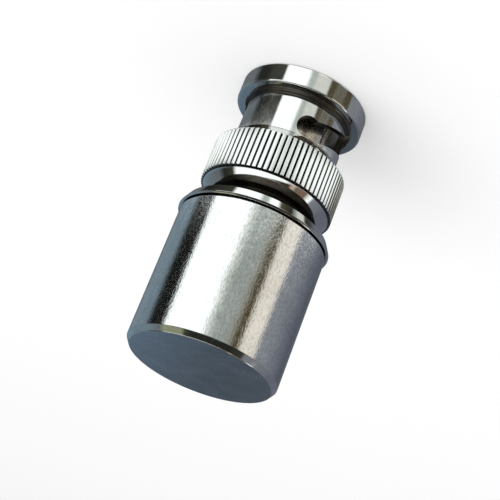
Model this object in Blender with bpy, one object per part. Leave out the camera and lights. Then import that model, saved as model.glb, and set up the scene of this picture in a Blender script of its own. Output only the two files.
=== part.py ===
"""Coaxial dummy load with a bayonet plug, modelled piece by piece.

The part stands on the open front face of its coupling nut, at z = 0, with the end cap up.
Lengths are in metres and every size is a radius unless its name says otherwise.
"""

import math

import bmesh
import bpy
from mathutils import Matrix

MM = 0.001

# Clearances
SEAT_GAP = 0.10 * MM          # between two pieces that touch
RUN_GAP = 0.12 * MM           # between the turning nut and what it turns on

# Facets round a turned piece
OUTER_SIDES = 80
INNER_SIDES = 32

# Coupling nut, inside
NUT_MOUTH_CHAMFER = 0.3 * MM
NUT_WEB_THICKNESS = 0.8 * MM
NUT_REAR_RECESS_DEPTH = 0.45 * MM

# Coupling nut, outside
NUT_BARREL_WALL = 0.8 * MM
NUT_FLANGE_STEP = 1.37 * MM   # how far the flange stands out from the barrel
NUT_FLANGE_THICKNESS = 2.3 * MM
NUT_FLANGE_CHAMFER = 0.18 * MM
NUT_LIP_STEP = 0.34 * MM
NUT_LIP_LENGTH = 0.36 * MM
NUT_BARREL_END = 7.1 * MM
NUT_SHOULDER_LENGTH = 1.4 * MM
KNURL_STEP = 1.62 * MM        # how far the knurl stands out from the barrel
KNURL_DEPTH = 0.26 * MM
KNURL_LENGTH = 4.75 * MM
KNURL_END_CHAMFER = 0.15 * MM
KNURL_LAND_STEP = 0.03 * MM   # how far the plain land lies below the grooves
KNURL_COUNT = 75
KNURL_GROOVE_SHARE = 0.62     # groove width at the crest, as a share of the pitch
NUT_TAPER_LENGTH = 1.05 * MM
NUT_TAPER_DROP = 1.37 * MM    # how far the taper falls away from the knurl
NUT_TAPER_ROUND = 0.45 * MM
NUT_TAPER_LAND = 0.09 * MM    # plain land between the knurl and the rounding

# Bayonet slots in the nut
SLOT_WIDTH = 2.3 * MM
SLOT_ENTRY_ANGLE = math.radians(182.0)
SLOT_DETENT_ANGLE = math.radians(256.3)
SLOT_ENTRY_Z = 3.8 * MM
SLOT_END_Z = 6.1 * MM
SLOT_END_PULLBACK = 0.8 * MM          # how far short of the detent the ramp's round end lies
SLOT_DETENT_Z = 5.76 * MM
SLOT_DETENT_RADIUS = 1.32 * MM
SLOT_MOUTH_STEP = 0.4 * MM            # how far past the barrel the lug's way in is cut
SLOT_RAMP_STEPS = 16
SLOT_COUNT = 2

# Spring washers and thrust washer between the nut and the plug body
WAVE_HEIGHT = 0.40 * MM
WAVE_THICKNESS = 0.12 * MM
WAVE_COUNT = 3
THRUST_THICKNESS = 0.20 * MM
SNAP_RING_THICKNESS = 0.30 * MM
SNAP_RING_REACH = 0.75 * MM    # how far the ring stands out from the neck
SNAP_RING_GROOVE_DEPTH = 0.25 * MM
SNAP_RING_OPENING = 1.4 * MM

# Plug body
BODY_FLANGE_THICKNESS = 0.60 * MM
BODY_FLANGE_STEP = 0.68 * MM   # how far the flange stands out from the neck
NECK_WALL = 0.7 * MM
NECK_CHAMFER = 0.15 * MM
LEDGE_THICKNESS = 0.60 * MM
LEDGE_STEP = 1.0 * MM
SPIGOT_LENGTH = 2.2 * MM

# Outer contact, with sprung fingers
CONTACT_FRONT_Z = 1.7 * MM
CONTACT_BORE = 3.45 * MM      # the radii of the plug, the nut and the load follow outwards from it
CONTACT_WALL = 0.60 * MM
CONTACT_NECKING = 0.13 * MM    # how far the fingers are turned down behind their bead
CONTACT_BEAD_LENGTH = 0.9 * MM
CONTACT_BORE_STEP = 0.65 * MM  # from the fingers' bore to the spigot's
SPIGOT_WALL = 0.5 * MM
FINGER_COUNT = 4
FINGER_SLIT_WIDTH = 0.35 * MM
FINGER_LENGTH = 7.2 * MM
FINGER_SLIT_END = 0.5 * MM    # how far short of the fingers' thick root each slit stops
FINGER_SLIT_ANGLE = math.radians(216.3)

# Gasket and insulators
GASKET_THICKNESS = 0.70 * MM
NOSE_STEP = 0.3 * MM
NOSE_FRONT_Z = 3.0 * MM
NOSE_SOCKET_ROOM = 0.525 * MM  # round the pin, for the mating socket
NOSE_SOCKET_DEPTH = 6.0 * MM
REAR_INSULATOR_LENGTH = 1.8 * MM
RETAINER_LENGTH = 0.9 * MM
RETAINER_WALL = 0.9 * MM
WASHER_THICKNESS = 0.5 * MM

# Centre pin
PIN_RADIUS = 0.675 * MM
PIN_TIP_Z = 2.0 * MM
PIN_TIP_LENGTH = 0.9 * MM
PIN_TIP_RADIUS = 0.25 * MM
PIN_SHOULDER_STEP = 0.525 * MM
PIN_TAIL_STEP = 0.125 * MM
PIN_TAIL_REACH = 1.0 * MM      # how far the tail goes into the resistor's socket

# Collar
NUT_TO_COLLAR = 1.8 * MM
COLLAR_OVERHANG = 0.29 * MM   # how far the rim stands out past the housing
COLLAR_SLOPE_WIDTH = 0.54 * MM
COLLAR_CONE_LENGTH = 1.0 * MM
COLLAR_RIM_LENGTH = 0.2 * MM
COLLAR_BOSS_LENGTH = 3.0 * MM
COLLAR_BOSS_WALL = 2.65 * MM
COLLAR_LEDGE = 0.8 * MM        # the step in the collar's bore behind the neck
NECK_ENGAGEMENT = 2.4 * MM
SEAM_WIDTH = 0.20 * MM

# Load housing
HOUSING_LENGTH = 15.55 * MM
HOUSING_WALL = 1.15 * MM
HOUSING_MOUTH_CHAMFER = 0.06 * MM
END_CHAMFER_WIDTH = 0.42 * MM
END_CHAMFER_LENGTH = 0.62 * MM

# Seal ring in the seam
SEAL_WIRE_RADIUS = 0.30 * MM
SEAL_SIDES = 8

# Resistor and its caps
RESISTOR_RADIUS = 2.0 * MM
RESISTOR_LENGTH = 9.0 * MM
CAP_WALL = 0.20 * MM
CAP_SKIRT = 1.5 * MM
CAP_END_THICKNESS = 0.50 * MM
CAP_TO_WASHER = 0.40 * MM
SOCKET_WALL = 0.35 * MM
SOCKET_DEPTH = 1.4 * MM

# Tapered sleeve round the resistor, and the contact spring behind it
SLEEVE_MOUTH_WALL = 1.25 * MM
SLEEVE_BACK_STEP = 0.2 * MM
CONTACT_SPRING_HEIGHT = 0.66 * MM
CONTACT_SPRING_THICKNESS = 0.15 * MM
CONTACT_SPRING_BORE = 0.9 * MM
CONTACT_SPRING_MARGIN = 0.95 * MM   # between the spring's rim and the housing's bore

# Places along the axis, from the front face to the end cap
KNURL_START = NUT_BARREL_END + NUT_SHOULDER_LENGTH
KNURL_END = KNURL_START + KNURL_LENGTH
NUT_LENGTH = KNURL_END + NUT_TAPER_LENGTH
NUT_WEB_REAR = NUT_LENGTH - NUT_REAR_RECESS_DEPTH
NUT_WEB_FRONT = NUT_WEB_REAR - NUT_WEB_THICKNESS
SNAP_RING_FRONT = NUT_WEB_REAR + SEAT_GAP
SNAP_RING_REAR = SNAP_RING_FRONT + SNAP_RING_THICKNESS
THRUST_REAR = NUT_WEB_FRONT - SEAT_GAP
THRUST_FRONT = THRUST_REAR - THRUST_THICKNESS
REAR_WAVE_FRONT = THRUST_FRONT - SEAT_GAP - WAVE_HEIGHT
FRONT_WAVE_FRONT = REAR_WAVE_FRONT - SEAT_GAP - WAVE_HEIGHT
BODY_FLANGE_REAR = FRONT_WAVE_FRONT - SEAT_GAP
BODY_FRONT = BODY_FLANGE_REAR - BODY_FLANGE_THICKNESS
GASKET_REAR = BODY_FRONT - SEAT_GAP
GASKET_FRONT = GASKET_REAR - GASKET_THICKNESS
SPIGOT_REAR = BODY_FRONT + SPIGOT_LENGTH
LEDGE_FRONT = SPIGOT_REAR + SEAT_GAP
LEDGE_REAR = LEDGE_FRONT + LEDGE_THICKNESS
REAR_INSULATOR_FRONT = LEDGE_REAR + SEAT_GAP
REAR_INSULATOR_REAR = REAR_INSULATOR_FRONT + REAR_INSULATOR_LENGTH
RETAINER_FRONT = REAR_INSULATOR_REAR + SEAT_GAP
RETAINER_REAR = RETAINER_FRONT + RETAINER_LENGTH
WASHER_FRONT = RETAINER_REAR + SEAT_GAP
WASHER_REAR = WASHER_FRONT + WASHER_THICKNESS
COLLAR_FRONT = NUT_LENGTH + NUT_TO_COLLAR
COLLAR_CONE_END = COLLAR_FRONT + COLLAR_CONE_LENGTH
COLLAR_REAR = COLLAR_CONE_END + COLLAR_RIM_LENGTH
COLLAR_BOSS_END = COLLAR_REAR + COLLAR_BOSS_LENGTH
NECK_END = COLLAR_FRONT + NECK_ENGAGEMENT
HOUSING_FRONT = COLLAR_REAR + SEAM_WIDTH
HOUSING_END = HOUSING_FRONT + HOUSING_LENGTH
SOCKET_FRONT = WASHER_FRONT
SOCKET_FLOOR = SOCKET_FRONT + SOCKET_DEPTH
FRONT_CAP_HEAD = WASHER_REAR + CAP_TO_WASHER
RESISTOR_FRONT = max(FRONT_CAP_HEAD, SOCKET_FLOOR) + CAP_END_THICKNESS + SEAT_GAP
RESISTOR_REAR = RESISTOR_FRONT + RESISTOR_LENGTH
REAR_CAP_FLOOR = RESISTOR_REAR + SEAT_GAP
REAR_CAP_REAR = REAR_CAP_FLOOR + CAP_END_THICKNESS
SLEEVE_FRONT = COLLAR_BOSS_END + SEAT_GAP
SLEEVE_REAR = REAR_CAP_REAR - SLEEVE_BACK_STEP
CONTACT_SPRING_FRONT = REAR_CAP_REAR + SEAT_GAP
HOUSING_FLOOR = CONTACT_SPRING_FRONT + CONTACT_SPRING_HEIGHT + SEAT_GAP

# Radii that follow from a wall, a step or a fit
CONTACT_RADIUS = CONTACT_BORE + CONTACT_WALL
CONTACT_NECKED_RADIUS = CONTACT_RADIUS - CONTACT_NECKING
CONTACT_SPIGOT_BORE = CONTACT_BORE - CONTACT_BORE_STEP
IN_NECK_RADIUS = CONTACT_SPIGOT_BORE + SPIGOT_WALL
NECK_BORE = IN_NECK_RADIUS + SEAT_GAP
NECK_RADIUS = NECK_BORE + NECK_WALL
BODY_FLANGE_RADIUS = NECK_RADIUS + BODY_FLANGE_STEP
LEDGE_RADIUS = NECK_BORE - LEDGE_STEP
INSULATOR_RADIUS = CONTACT_SPIGOT_BORE - SEAT_GAP
NOSE_RADIUS = INSULATOR_RADIUS - NOSE_STEP
NOSE_SOCKET_RADIUS = PIN_RADIUS + NOSE_SOCKET_ROOM
RETAINER_BORE = IN_NECK_RADIUS - RETAINER_WALL
PIN_SHOULDER_RADIUS = PIN_RADIUS + PIN_SHOULDER_STEP
PIN_TAIL_RADIUS = PIN_RADIUS + PIN_TAIL_STEP
NUT_BORE_RADIUS = BODY_FLANGE_RADIUS + RUN_GAP
NUT_BARREL_RADIUS = NUT_BORE_RADIUS + NUT_BARREL_WALL
NUT_FLANGE_RADIUS = NUT_BARREL_RADIUS + NUT_FLANGE_STEP
KNURL_RADIUS = NUT_BARREL_RADIUS + KNURL_STEP
NUT_TAPER_END_RADIUS = KNURL_RADIUS - NUT_TAPER_DROP
SLOT_MOUTH_RADIUS = NUT_BARREL_RADIUS + SLOT_MOUTH_STEP
COLLAR_BORE = NECK_RADIUS + SEAT_GAP
COLLAR_THROAT_RADIUS = COLLAR_BORE - COLLAR_LEDGE
BOSS_RADIUS = COLLAR_BORE + COLLAR_BOSS_WALL
HOUSING_BORE = BOSS_RADIUS + SEAT_GAP
HOUSING_RADIUS = HOUSING_BORE + HOUSING_WALL
COLLAR_RADIUS = HOUSING_RADIUS + COLLAR_OVERHANG
COLLAR_FRONT_RADIUS = COLLAR_RADIUS - COLLAR_SLOPE_WIDTH
NECK_RING_BORE = NECK_RADIUS + SEAT_GAP
NUT_WEB_BORE = NECK_RADIUS + RUN_GAP
SNAP_RING_OUTER = NECK_RADIUS + SNAP_RING_REACH
NUT_RECESS_RADIUS = SNAP_RING_OUTER + RUN_GAP
RING_OUTER = NUT_BORE_RADIUS - RUN_GAP
SLEEVE_MOUTH_RADIUS = BOSS_RADIUS - SLEEVE_MOUTH_WALL
CONTACT_SPRING_RADIUS = HOUSING_BORE - CONTACT_SPRING_MARGIN
SOCKET_BORE = PIN_TAIL_RADIUS + SEAT_GAP
SOCKET_RADIUS = SOCKET_BORE + SOCKET_WALL
CAP_BORE = RESISTOR_RADIUS + SEAT_GAP
CAP_RADIUS = CAP_BORE + CAP_WALL
PIN_HOLE = PIN_RADIUS + SEAT_GAP
SEAL_CENTRE_RADIUS = BOSS_RADIUS + SEAT_GAP + SEAL_WIRE_RADIUS
SEAL_CENTRE_Z = COLLAR_REAR + SEAT_GAP + SEAL_WIRE_RADIUS
SEAL_SEAT_RADIUS = SEAL_CENTRE_RADIUS + SEAL_WIRE_RADIUS + SEAT_GAP
SEAL_SEAT_DEPTH = SEAL_CENTRE_Z + SEAL_WIRE_RADIUS + SEAT_GAP - HOUSING_FRONT

MATERIALS = {
    "bright_nickel": ((0.66, 0.67, 0.69), 1.0, 0.16),
    "satin_nickel": ((0.58, 0.61, 0.64), 1.0, 0.34),
    "tinned_contact": ((0.60, 0.56, 0.50), 1.0, 0.30),
    "spring_steel": ((0.45, 0.45, 0.46), 1.0, 0.32),
    "gold_plate": ((0.86, 0.62, 0.26), 1.0, 0.22),
    "brass": ((0.72, 0.55, 0.28), 1.0, 0.30),
    "white_plastic": ((0.88, 0.88, 0.86), 0.0, 0.45),
    "grey_rubber": ((0.16, 0.17, 0.18), 0.0, 0.60),
    "black_rubber": ((0.02, 0.02, 0.02), 0.0, 0.55),
    "ceramic": ((0.42, 0.30, 0.22), 0.0, 0.50),
}


def clear_scene():
    """Remove every object, so that the model starts from nothing."""
    for item in list(bpy.data.objects):
        bpy.data.objects.remove(item, do_unlink=True)


def make_material(name):
    """Return the named plain material."""
    colour, metallic, roughness = MATERIALS[name]
    material = bpy.data.materials.new(name)
    material.use_nodes = True
    shader = material.node_tree.nodes["Principled BSDF"]
    shader.inputs["Base Color"].default_value = (*colour, 1.0)
    shader.inputs["Metallic"].default_value = metallic
    shader.inputs["Roughness"].default_value = roughness
    return material


def add_object(name, mesh, material=None, parent=None):
    """Link a mesh as an object, with its material and parent."""
    item = bpy.data.objects.new(name, mesh)
    bpy.context.scene.collection.objects.link(item)
    if material is not None:
        mesh.materials.append(material)
    item.parent = parent
    return item


def finish_mesh(model, name, sharp_degrees=30.0):
    """Turn a bmesh into a smooth-shaded mesh with its faces pointing out."""
    bmesh.ops.remove_doubles(model, verts=model.verts[:], dist=1e-8)
    bmesh.ops.recalc_face_normals(model, faces=model.faces[:])
    mesh = bpy.data.meshes.new(name)
    model.to_mesh(mesh)
    model.free()
    mesh.shade_smooth()
    mesh.set_sharp_from_angle(angle=math.radians(sharp_degrees))
    return mesh


def turned_mesh(name, profile, sides, open_angle=0.0):
    """Spin a closed (radius, z) profile about the axis; open_angle leaves a gap in the ring."""
    model = bmesh.new()
    corners = [model.verts.new((r, 0.0, z)) for r, z in profile]
    edges = [model.edges.new((a, b)) for a, b in zip(corners, corners[1:] + corners[:1])]
    full = open_angle == 0.0
    spun = corners + edges
    if not full:
        spun.append(model.faces.new(corners))
    bmesh.ops.spin(
        model,
        geom=spun,
        axis=(0.0, 0.0, 1.0),
        cent=(0.0, 0.0, 0.0),
        angle=math.tau - open_angle,
        steps=sides,
        use_merge=full,
    )
    return finish_mesh(model, name)


def arc(centre_r, centre_z, radius, first_degrees, last_degrees, steps):
    """Return points on a round corner of a profile."""
    points = []
    for step in range(steps + 1):
        angle = math.radians(first_degrees + (last_degrees - first_degrees) * step / steps)
        points.append((centre_r + radius * math.cos(angle), centre_z + radius * math.sin(angle)))
    return points


def turned(name, profile, sides, material, parent=None, **options):
    """Make one turned piece."""
    return add_object(name, turned_mesh(name, profile, sides, **options), material, parent)


def ring(inner, outer, front, rear):
    """Return the profile of a plain flat ring."""
    return [(inner, front), (outer, front), (outer, rear), (inner, rear)]


def cutter(name, mesh):
    """Link a mesh as a cutter that isn't part of the model."""
    item = add_object(name, mesh)
    item.hide_render = True
    item.display_type = "WIRE"
    return item


def cut(target, tool, self_crossing=False):
    """Take the tool's shape out of the target."""
    modifier = target.modifiers.new("cut_" + tool.name, "BOOLEAN")
    modifier.operation = "DIFFERENCE"
    modifier.solver = "EXACT"
    modifier.use_self = self_crossing
    modifier.object = tool


def radial_drill(model, angle, z, radius, near, far, sides=32):
    """Add a round prism that points out from the axis at one angle and height."""
    place = (
        Matrix.Translation((0.0, 0.0, z))
        @ Matrix.Rotation(angle, 4, "Z")
        @ Matrix.Translation(((near + far) / 2.0, 0.0, 0.0))
        @ Matrix.Rotation(math.radians(90.0), 4, "Y")
    )
    bmesh.ops.create_cone(
        model,
        cap_ends=True,
        segments=sides,
        radius1=radius,
        radius2=radius,
        depth=far - near,
        matrix=place,
    )


def radial_box(model, angle, width, near, far, front, rear):
    """Add a box that points out from the axis at one angle."""
    place = (
        Matrix.Rotation(angle, 4, "Z")
        @ Matrix.Translation(((near + far) / 2.0, 0.0, (front + rear) / 2.0))
        @ Matrix.Diagonal((far - near, width, rear - front, 1.0))
    )
    bmesh.ops.create_cube(model, size=1.0, matrix=place)


def helical_band(model, first_angle, last_angle, first_z, last_z, half_height, near, far, steps):
    """Add a band that climbs round the axis between two angles, cut square at its ends."""
    sections = []
    for step in range(steps + 1):
        share = step / steps
        angle = first_angle + (last_angle - first_angle) * share
        z = first_z + (last_z - first_z) * share
        corners = ((near, -half_height), (far, -half_height), (far, half_height), (near, half_height))
        sections.append([
            model.verts.new((r * math.cos(angle), r * math.sin(angle), z + dz)) for r, dz in corners
        ])
    for before, after in zip(sections, sections[1:]):
        for side in range(4):
            other = (side + 1) % 4
            model.faces.new((before[side], before[other], after[other], after[side]))
    model.faces.new(sections[0])
    model.faces.new(sections[-1])


def slot_cutters():
    """Return the cutters of the bayonet slots: each has a way in, a ramp and a detent."""
    near = CONTACT_RADIUS + SEAT_GAP
    far = NUT_BARREL_RADIUS + 2.0 * NUT_LIP_STEP
    sweep = SLOT_DETENT_ANGLE - SLOT_ENTRY_ANGLE
    ramp_angle = math.atan2(SLOT_END_Z - SLOT_ENTRY_Z, sweep * NUT_BARREL_RADIUS)
    half_height = SLOT_WIDTH / 2.0 / math.cos(ramp_angle)
    end_share = 1.0 - SLOT_END_PULLBACK / (sweep * NUT_BARREL_RADIUS)
    end_angle = SLOT_ENTRY_ANGLE + sweep * end_share
    end_z = SLOT_ENTRY_Z + (SLOT_END_Z - SLOT_ENTRY_Z) * end_share
    tools = []
    for index in range(SLOT_COUNT):
        turn = math.tau * index / SLOT_COUNT
        way_in = bmesh.new()
        radial_box(way_in, SLOT_ENTRY_ANGLE + turn, SLOT_WIDTH, near, SLOT_MOUTH_RADIUS,
                   -NUT_FLANGE_THICKNESS, SLOT_ENTRY_Z)
        ramp = bmesh.new()
        helical_band(ramp, SLOT_ENTRY_ANGLE + turn, end_angle + turn, SLOT_ENTRY_Z, end_z,
                     half_height, near, far, SLOT_RAMP_STEPS)
        detent = bmesh.new()
        radial_drill(detent, SLOT_DETENT_ANGLE + turn, SLOT_DETENT_Z, SLOT_DETENT_RADIUS, near, far)
        ramp_end = bmesh.new()
        radial_drill(ramp_end, end_angle + turn, end_z, SLOT_WIDTH / 2.0, near, far)
        ramp_start = bmesh.new()
        radial_drill(ramp_start, SLOT_ENTRY_ANGLE + turn, SLOT_ENTRY_Z, SLOT_WIDTH / 2.0, near, far)
        shapes = (("way_in", way_in), ("ramp", ramp), ("detent", detent),
                  ("ramp_end", ramp_end), ("ramp_start", ramp_start))
        for label, shape in shapes:
            name = f"slot_{index + 1}_{label}"
            tools.append(cutter(name, finish_mesh(shape, name)))
    return tools


def knurl_cutter():
    """Return one mesh with a V-shaped groove for each valley of the knurl."""
    model = bmesh.new()
    pitch = math.tau / KNURL_COUNT
    half_open = pitch * KNURL_GROOVE_SHARE / 2.0
    bottom = KNURL_RADIUS - KNURL_DEPTH
    over = KNURL_RADIUS + KNURL_DEPTH
    over_half = half_open * (over - bottom) / (KNURL_RADIUS - bottom)
    front = KNURL_START - NUT_SHOULDER_LENGTH
    rear = KNURL_END + KNURL_END_CHAMFER
    for index in range(KNURL_COUNT):
        middle = pitch * (index + 0.5)
        outline = ((bottom, middle), (over, middle - over_half), (over, middle + over_half))
        ends = []
        for z in (front, rear):
            ends.append([model.verts.new((r * math.cos(a), r * math.sin(a), z)) for r, a in outline])
        low, high = ends
        model.faces.new(low)
        model.faces.new(high)
        for side in range(3):
            other = (side + 1) % 3
            model.faces.new((low[side], low[other], high[other], high[side]))
    return cutter("knurl_grooves", finish_mesh(model, "knurl_grooves"))


def coupling_nut_profile():
    """Return the turned outline of the coupling nut before its slots and knurl are cut."""
    lip = NUT_BARREL_RADIUS + NUT_LIP_STEP
    land = KNURL_RADIUS - KNURL_DEPTH - KNURL_LAND_STEP
    chamfer = NUT_FLANGE_CHAMFER
    outside = [
        (NUT_BORE_RADIUS + NUT_MOUTH_CHAMFER, 0.0),
        (NUT_FLANGE_RADIUS - chamfer, 0.0),
        (NUT_FLANGE_RADIUS, chamfer),
        (NUT_FLANGE_RADIUS, NUT_FLANGE_THICKNESS - chamfer),
        (NUT_FLANGE_RADIUS - chamfer, NUT_FLANGE_THICKNESS),
        (lip, NUT_FLANGE_THICKNESS),
        (lip, NUT_FLANGE_THICKNESS + NUT_LIP_LENGTH / 2.0),
        (NUT_BARREL_RADIUS, NUT_FLANGE_THICKNESS + NUT_LIP_LENGTH),
        (NUT_BARREL_RADIUS, NUT_BARREL_END),
        (land, KNURL_START - KNURL_END_CHAMFER),
        (KNURL_RADIUS, KNURL_START),
        (KNURL_RADIUS, KNURL_END - KNURL_END_CHAMFER),
        (land, KNURL_END),
    ]
    rounded = arc(land - NUT_TAPER_ROUND, KNURL_END + NUT_TAPER_LAND, NUT_TAPER_ROUND, 0.0, 50.0, 4)
    rear = [(NUT_TAPER_END_RADIUS, NUT_LENGTH)]
    inside = [
        (NUT_RECESS_RADIUS, NUT_LENGTH),
        (NUT_RECESS_RADIUS, NUT_WEB_REAR),
        (NUT_WEB_BORE, NUT_WEB_REAR),
        (NUT_WEB_BORE, NUT_WEB_FRONT),
        (NUT_BORE_RADIUS, NUT_WEB_FRONT),
        (NUT_BORE_RADIUS, NUT_MOUTH_CHAMFER),
    ]
    return outside + rounded + rear + inside


def build_coupling_nut(material, axis):
    """Coupling nut: flange, slotted barrel, knurled grip and inward web."""
    nut = turned("coupling_nut", coupling_nut_profile(), OUTER_SIDES, material, axis)
    for tool in slot_cutters():
        cut(nut, tool)
    cut(nut, knurl_cutter())
    return nut


def build_snap_ring(material):
    """Open ring in the neck's groove; it keeps the nut from sliding off the rear."""
    inner = NECK_RADIUS - SNAP_RING_GROOVE_DEPTH + SEAT_GAP
    opening = SNAP_RING_OPENING / SNAP_RING_OUTER
    profile = ring(inner, SNAP_RING_OUTER, SNAP_RING_FRONT, SNAP_RING_REAR)
    return turned("snap_ring", profile, INNER_SIDES, material, open_angle=opening)


def build_wave_spring(name, front, material):
    """Closed ring of thin strip that rises and falls round the axis."""
    model = bmesh.new()
    swing = (WAVE_HEIGHT - WAVE_THICKNESS) / 2.0
    middle = front + WAVE_HEIGHT / 2.0
    half = WAVE_THICKNESS / 2.0
    sections = []
    for step in range(INNER_SIDES):
        angle = math.tau * step / INNER_SIDES
        z = middle + swing * math.cos(WAVE_COUNT * angle)
        corners = ((NECK_RING_BORE, -half), (RING_OUTER, -half), (RING_OUTER, half), (NECK_RING_BORE, half))
        sections.append([
            model.verts.new((r * math.cos(angle), r * math.sin(angle), z + dz)) for r, dz in corners
        ])
    for before, after in zip(sections, sections[1:] + sections[:1]):
        for side in range(4):
            other = (side + 1) % 4
            model.faces.new((before[side], before[other], after[other], after[side]))
    return add_object(name, finish_mesh(model, name), material)


def build_plug_body(material):
    """Plug body: front flange, neck with the snap ring's groove, and the ledge in its bore."""
    groove = NECK_RADIUS - SNAP_RING_GROOVE_DEPTH
    groove_front = SNAP_RING_FRONT - SEAT_GAP
    groove_rear = SNAP_RING_REAR + SEAT_GAP
    profile = [
        (NECK_BORE, BODY_FRONT),
        (BODY_FLANGE_RADIUS, BODY_FRONT),
        (BODY_FLANGE_RADIUS, BODY_FLANGE_REAR),
        (NECK_RADIUS, BODY_FLANGE_REAR),
        (NECK_RADIUS, groove_front),
        (groove, groove_front),
        (groove, groove_rear),
        (NECK_RADIUS, groove_rear),
        (NECK_RADIUS, NECK_END - NECK_CHAMFER),
        (NECK_RADIUS - NECK_CHAMFER, NECK_END),
        (NECK_BORE, NECK_END),
        (NECK_BORE, LEDGE_REAR),
        (LEDGE_RADIUS, LEDGE_REAR),
        (LEDGE_RADIUS, LEDGE_FRONT),
        (NECK_BORE, LEDGE_FRONT),
    ]
    return turned("plug_body", profile, INNER_SIDES, material)


def build_outer_contact(material):
    """Outer contact: a tube with sprung fingers in front and a spigot pressed into the body."""
    profile = [
        (CONTACT_BORE, CONTACT_FRONT_Z),
        (CONTACT_NECKED_RADIUS, CONTACT_FRONT_Z),
        (CONTACT_RADIUS, CONTACT_FRONT_Z + CONTACT_BEAD_LENGTH / 3.0),
        (CONTACT_RADIUS, CONTACT_FRONT_Z + CONTACT_BEAD_LENGTH * 2.0 / 3.0),
        (CONTACT_NECKED_RADIUS, CONTACT_FRONT_Z + CONTACT_BEAD_LENGTH),
        (CONTACT_NECKED_RADIUS, CONTACT_FRONT_Z + FINGER_LENGTH),
        (CONTACT_RADIUS, CONTACT_FRONT_Z + FINGER_LENGTH),
        (CONTACT_RADIUS, BODY_FRONT - SEAT_GAP),
        (IN_NECK_RADIUS, BODY_FRONT - SEAT_GAP),
        (IN_NECK_RADIUS, SPIGOT_REAR),
        (CONTACT_SPIGOT_BORE, SPIGOT_REAR),
        (CONTACT_SPIGOT_BORE, BODY_FRONT - SEAT_GAP),
        (CONTACT_BORE, BODY_FRONT - SEAT_GAP - CONTACT_BORE_STEP),
    ]
    contact = turned("outer_contact", profile, INNER_SIDES, material)
    slits = bmesh.new()
    for index in range(FINGER_COUNT):
        angle = FINGER_SLIT_ANGLE + math.tau * index / FINGER_COUNT
        radial_box(slits, angle, FINGER_SLIT_WIDTH, CONTACT_SPIGOT_BORE, NUT_BORE_RADIUS,
                   0.0, CONTACT_FRONT_Z + FINGER_LENGTH - FINGER_SLIT_END)
    cut(contact, cutter("finger_slits", finish_mesh(slits, "finger_slits")))
    return contact


def build_front_insulator(material):
    """Front insulator: a nose round the pin, open in front for the mating socket."""
    nose_end = BODY_FRONT - SEAT_GAP - CONTACT_BORE_STEP
    profile = [
        (NOSE_SOCKET_RADIUS, NOSE_FRONT_Z),
        (NOSE_RADIUS, NOSE_FRONT_Z),
        (NOSE_RADIUS, nose_end),
        (INSULATOR_RADIUS, nose_end + NOSE_STEP),
        (INSULATOR_RADIUS, SPIGOT_REAR),
        (PIN_HOLE, SPIGOT_REAR),
        (PIN_HOLE, NOSE_FRONT_Z + NOSE_SOCKET_DEPTH),
        (NOSE_SOCKET_RADIUS, NOSE_FRONT_Z + NOSE_SOCKET_DEPTH),
    ]
    return turned("front_insulator", profile, INNER_SIDES, material)


def build_centre_pin(material):
    """Centre pin: round tip, shank, a shoulder held between the insulators, and a tail."""
    tip = arc(0.0, PIN_TIP_Z + PIN_TIP_RADIUS, PIN_TIP_RADIUS, -90.0, -20.0, 4)
    profile = tip + [
        (PIN_RADIUS, PIN_TIP_Z + PIN_TIP_LENGTH),
        (PIN_RADIUS, LEDGE_FRONT),
        (PIN_SHOULDER_RADIUS, LEDGE_FRONT),
        (PIN_SHOULDER_RADIUS, LEDGE_REAR),
        (PIN_TAIL_RADIUS, LEDGE_REAR),
        (PIN_TAIL_RADIUS, SOCKET_FRONT + PIN_TAIL_REACH),
        (0.0, SOCKET_FRONT + PIN_TAIL_REACH),
    ]
    return turned("centre_pin", profile, INNER_SIDES // 2, material)


def build_collar(material):
    """Collar: sloped front, narrow rim, and the boss that screws into the housing."""
    profile = [
        (COLLAR_BORE, COLLAR_FRONT),
        (COLLAR_FRONT_RADIUS, COLLAR_FRONT),
        (COLLAR_RADIUS, COLLAR_CONE_END),
        (COLLAR_RADIUS, COLLAR_REAR),
        (BOSS_RADIUS, COLLAR_REAR),
        (BOSS_RADIUS, COLLAR_BOSS_END),
        (COLLAR_THROAT_RADIUS, COLLAR_BOSS_END),
        (COLLAR_THROAT_RADIUS, NECK_END + SEAT_GAP),
        (COLLAR_BORE, NECK_END + SEAT_GAP),
    ]
    return turned("rear_collar", profile, OUTER_SIDES, material)


def build_seal_ring(material):
    """Round seal ring between the collar and the housing's mouth."""
    step = 360.0 / SEAL_SIDES
    section = arc(SEAL_CENTRE_RADIUS, SEAL_CENTRE_Z, SEAL_WIRE_RADIUS, 0.0, 360.0 - step, SEAL_SIDES - 1)
    return turned("seam_seal", section, INNER_SIDES, material)


def build_housing(material):
    """Load housing: one thick-walled cup with a flat, chamfered end."""
    profile = [
        (SEAL_SEAT_RADIUS, HOUSING_FRONT),
        (HOUSING_RADIUS - HOUSING_MOUTH_CHAMFER, HOUSING_FRONT),
        (HOUSING_RADIUS, HOUSING_FRONT + HOUSING_MOUTH_CHAMFER),
        (HOUSING_RADIUS, HOUSING_END - END_CHAMFER_LENGTH),
        (HOUSING_RADIUS - END_CHAMFER_WIDTH, HOUSING_END),
        (0.0, HOUSING_END),
        (0.0, HOUSING_FLOOR),
        (HOUSING_BORE, HOUSING_FLOOR),
        (HOUSING_BORE, HOUSING_FRONT + SEAL_SEAT_DEPTH),
        (SEAL_SEAT_RADIUS, HOUSING_FRONT + SEAL_SEAT_DEPTH),
    ]
    return turned("load_housing", profile, OUTER_SIDES, material)


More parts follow.
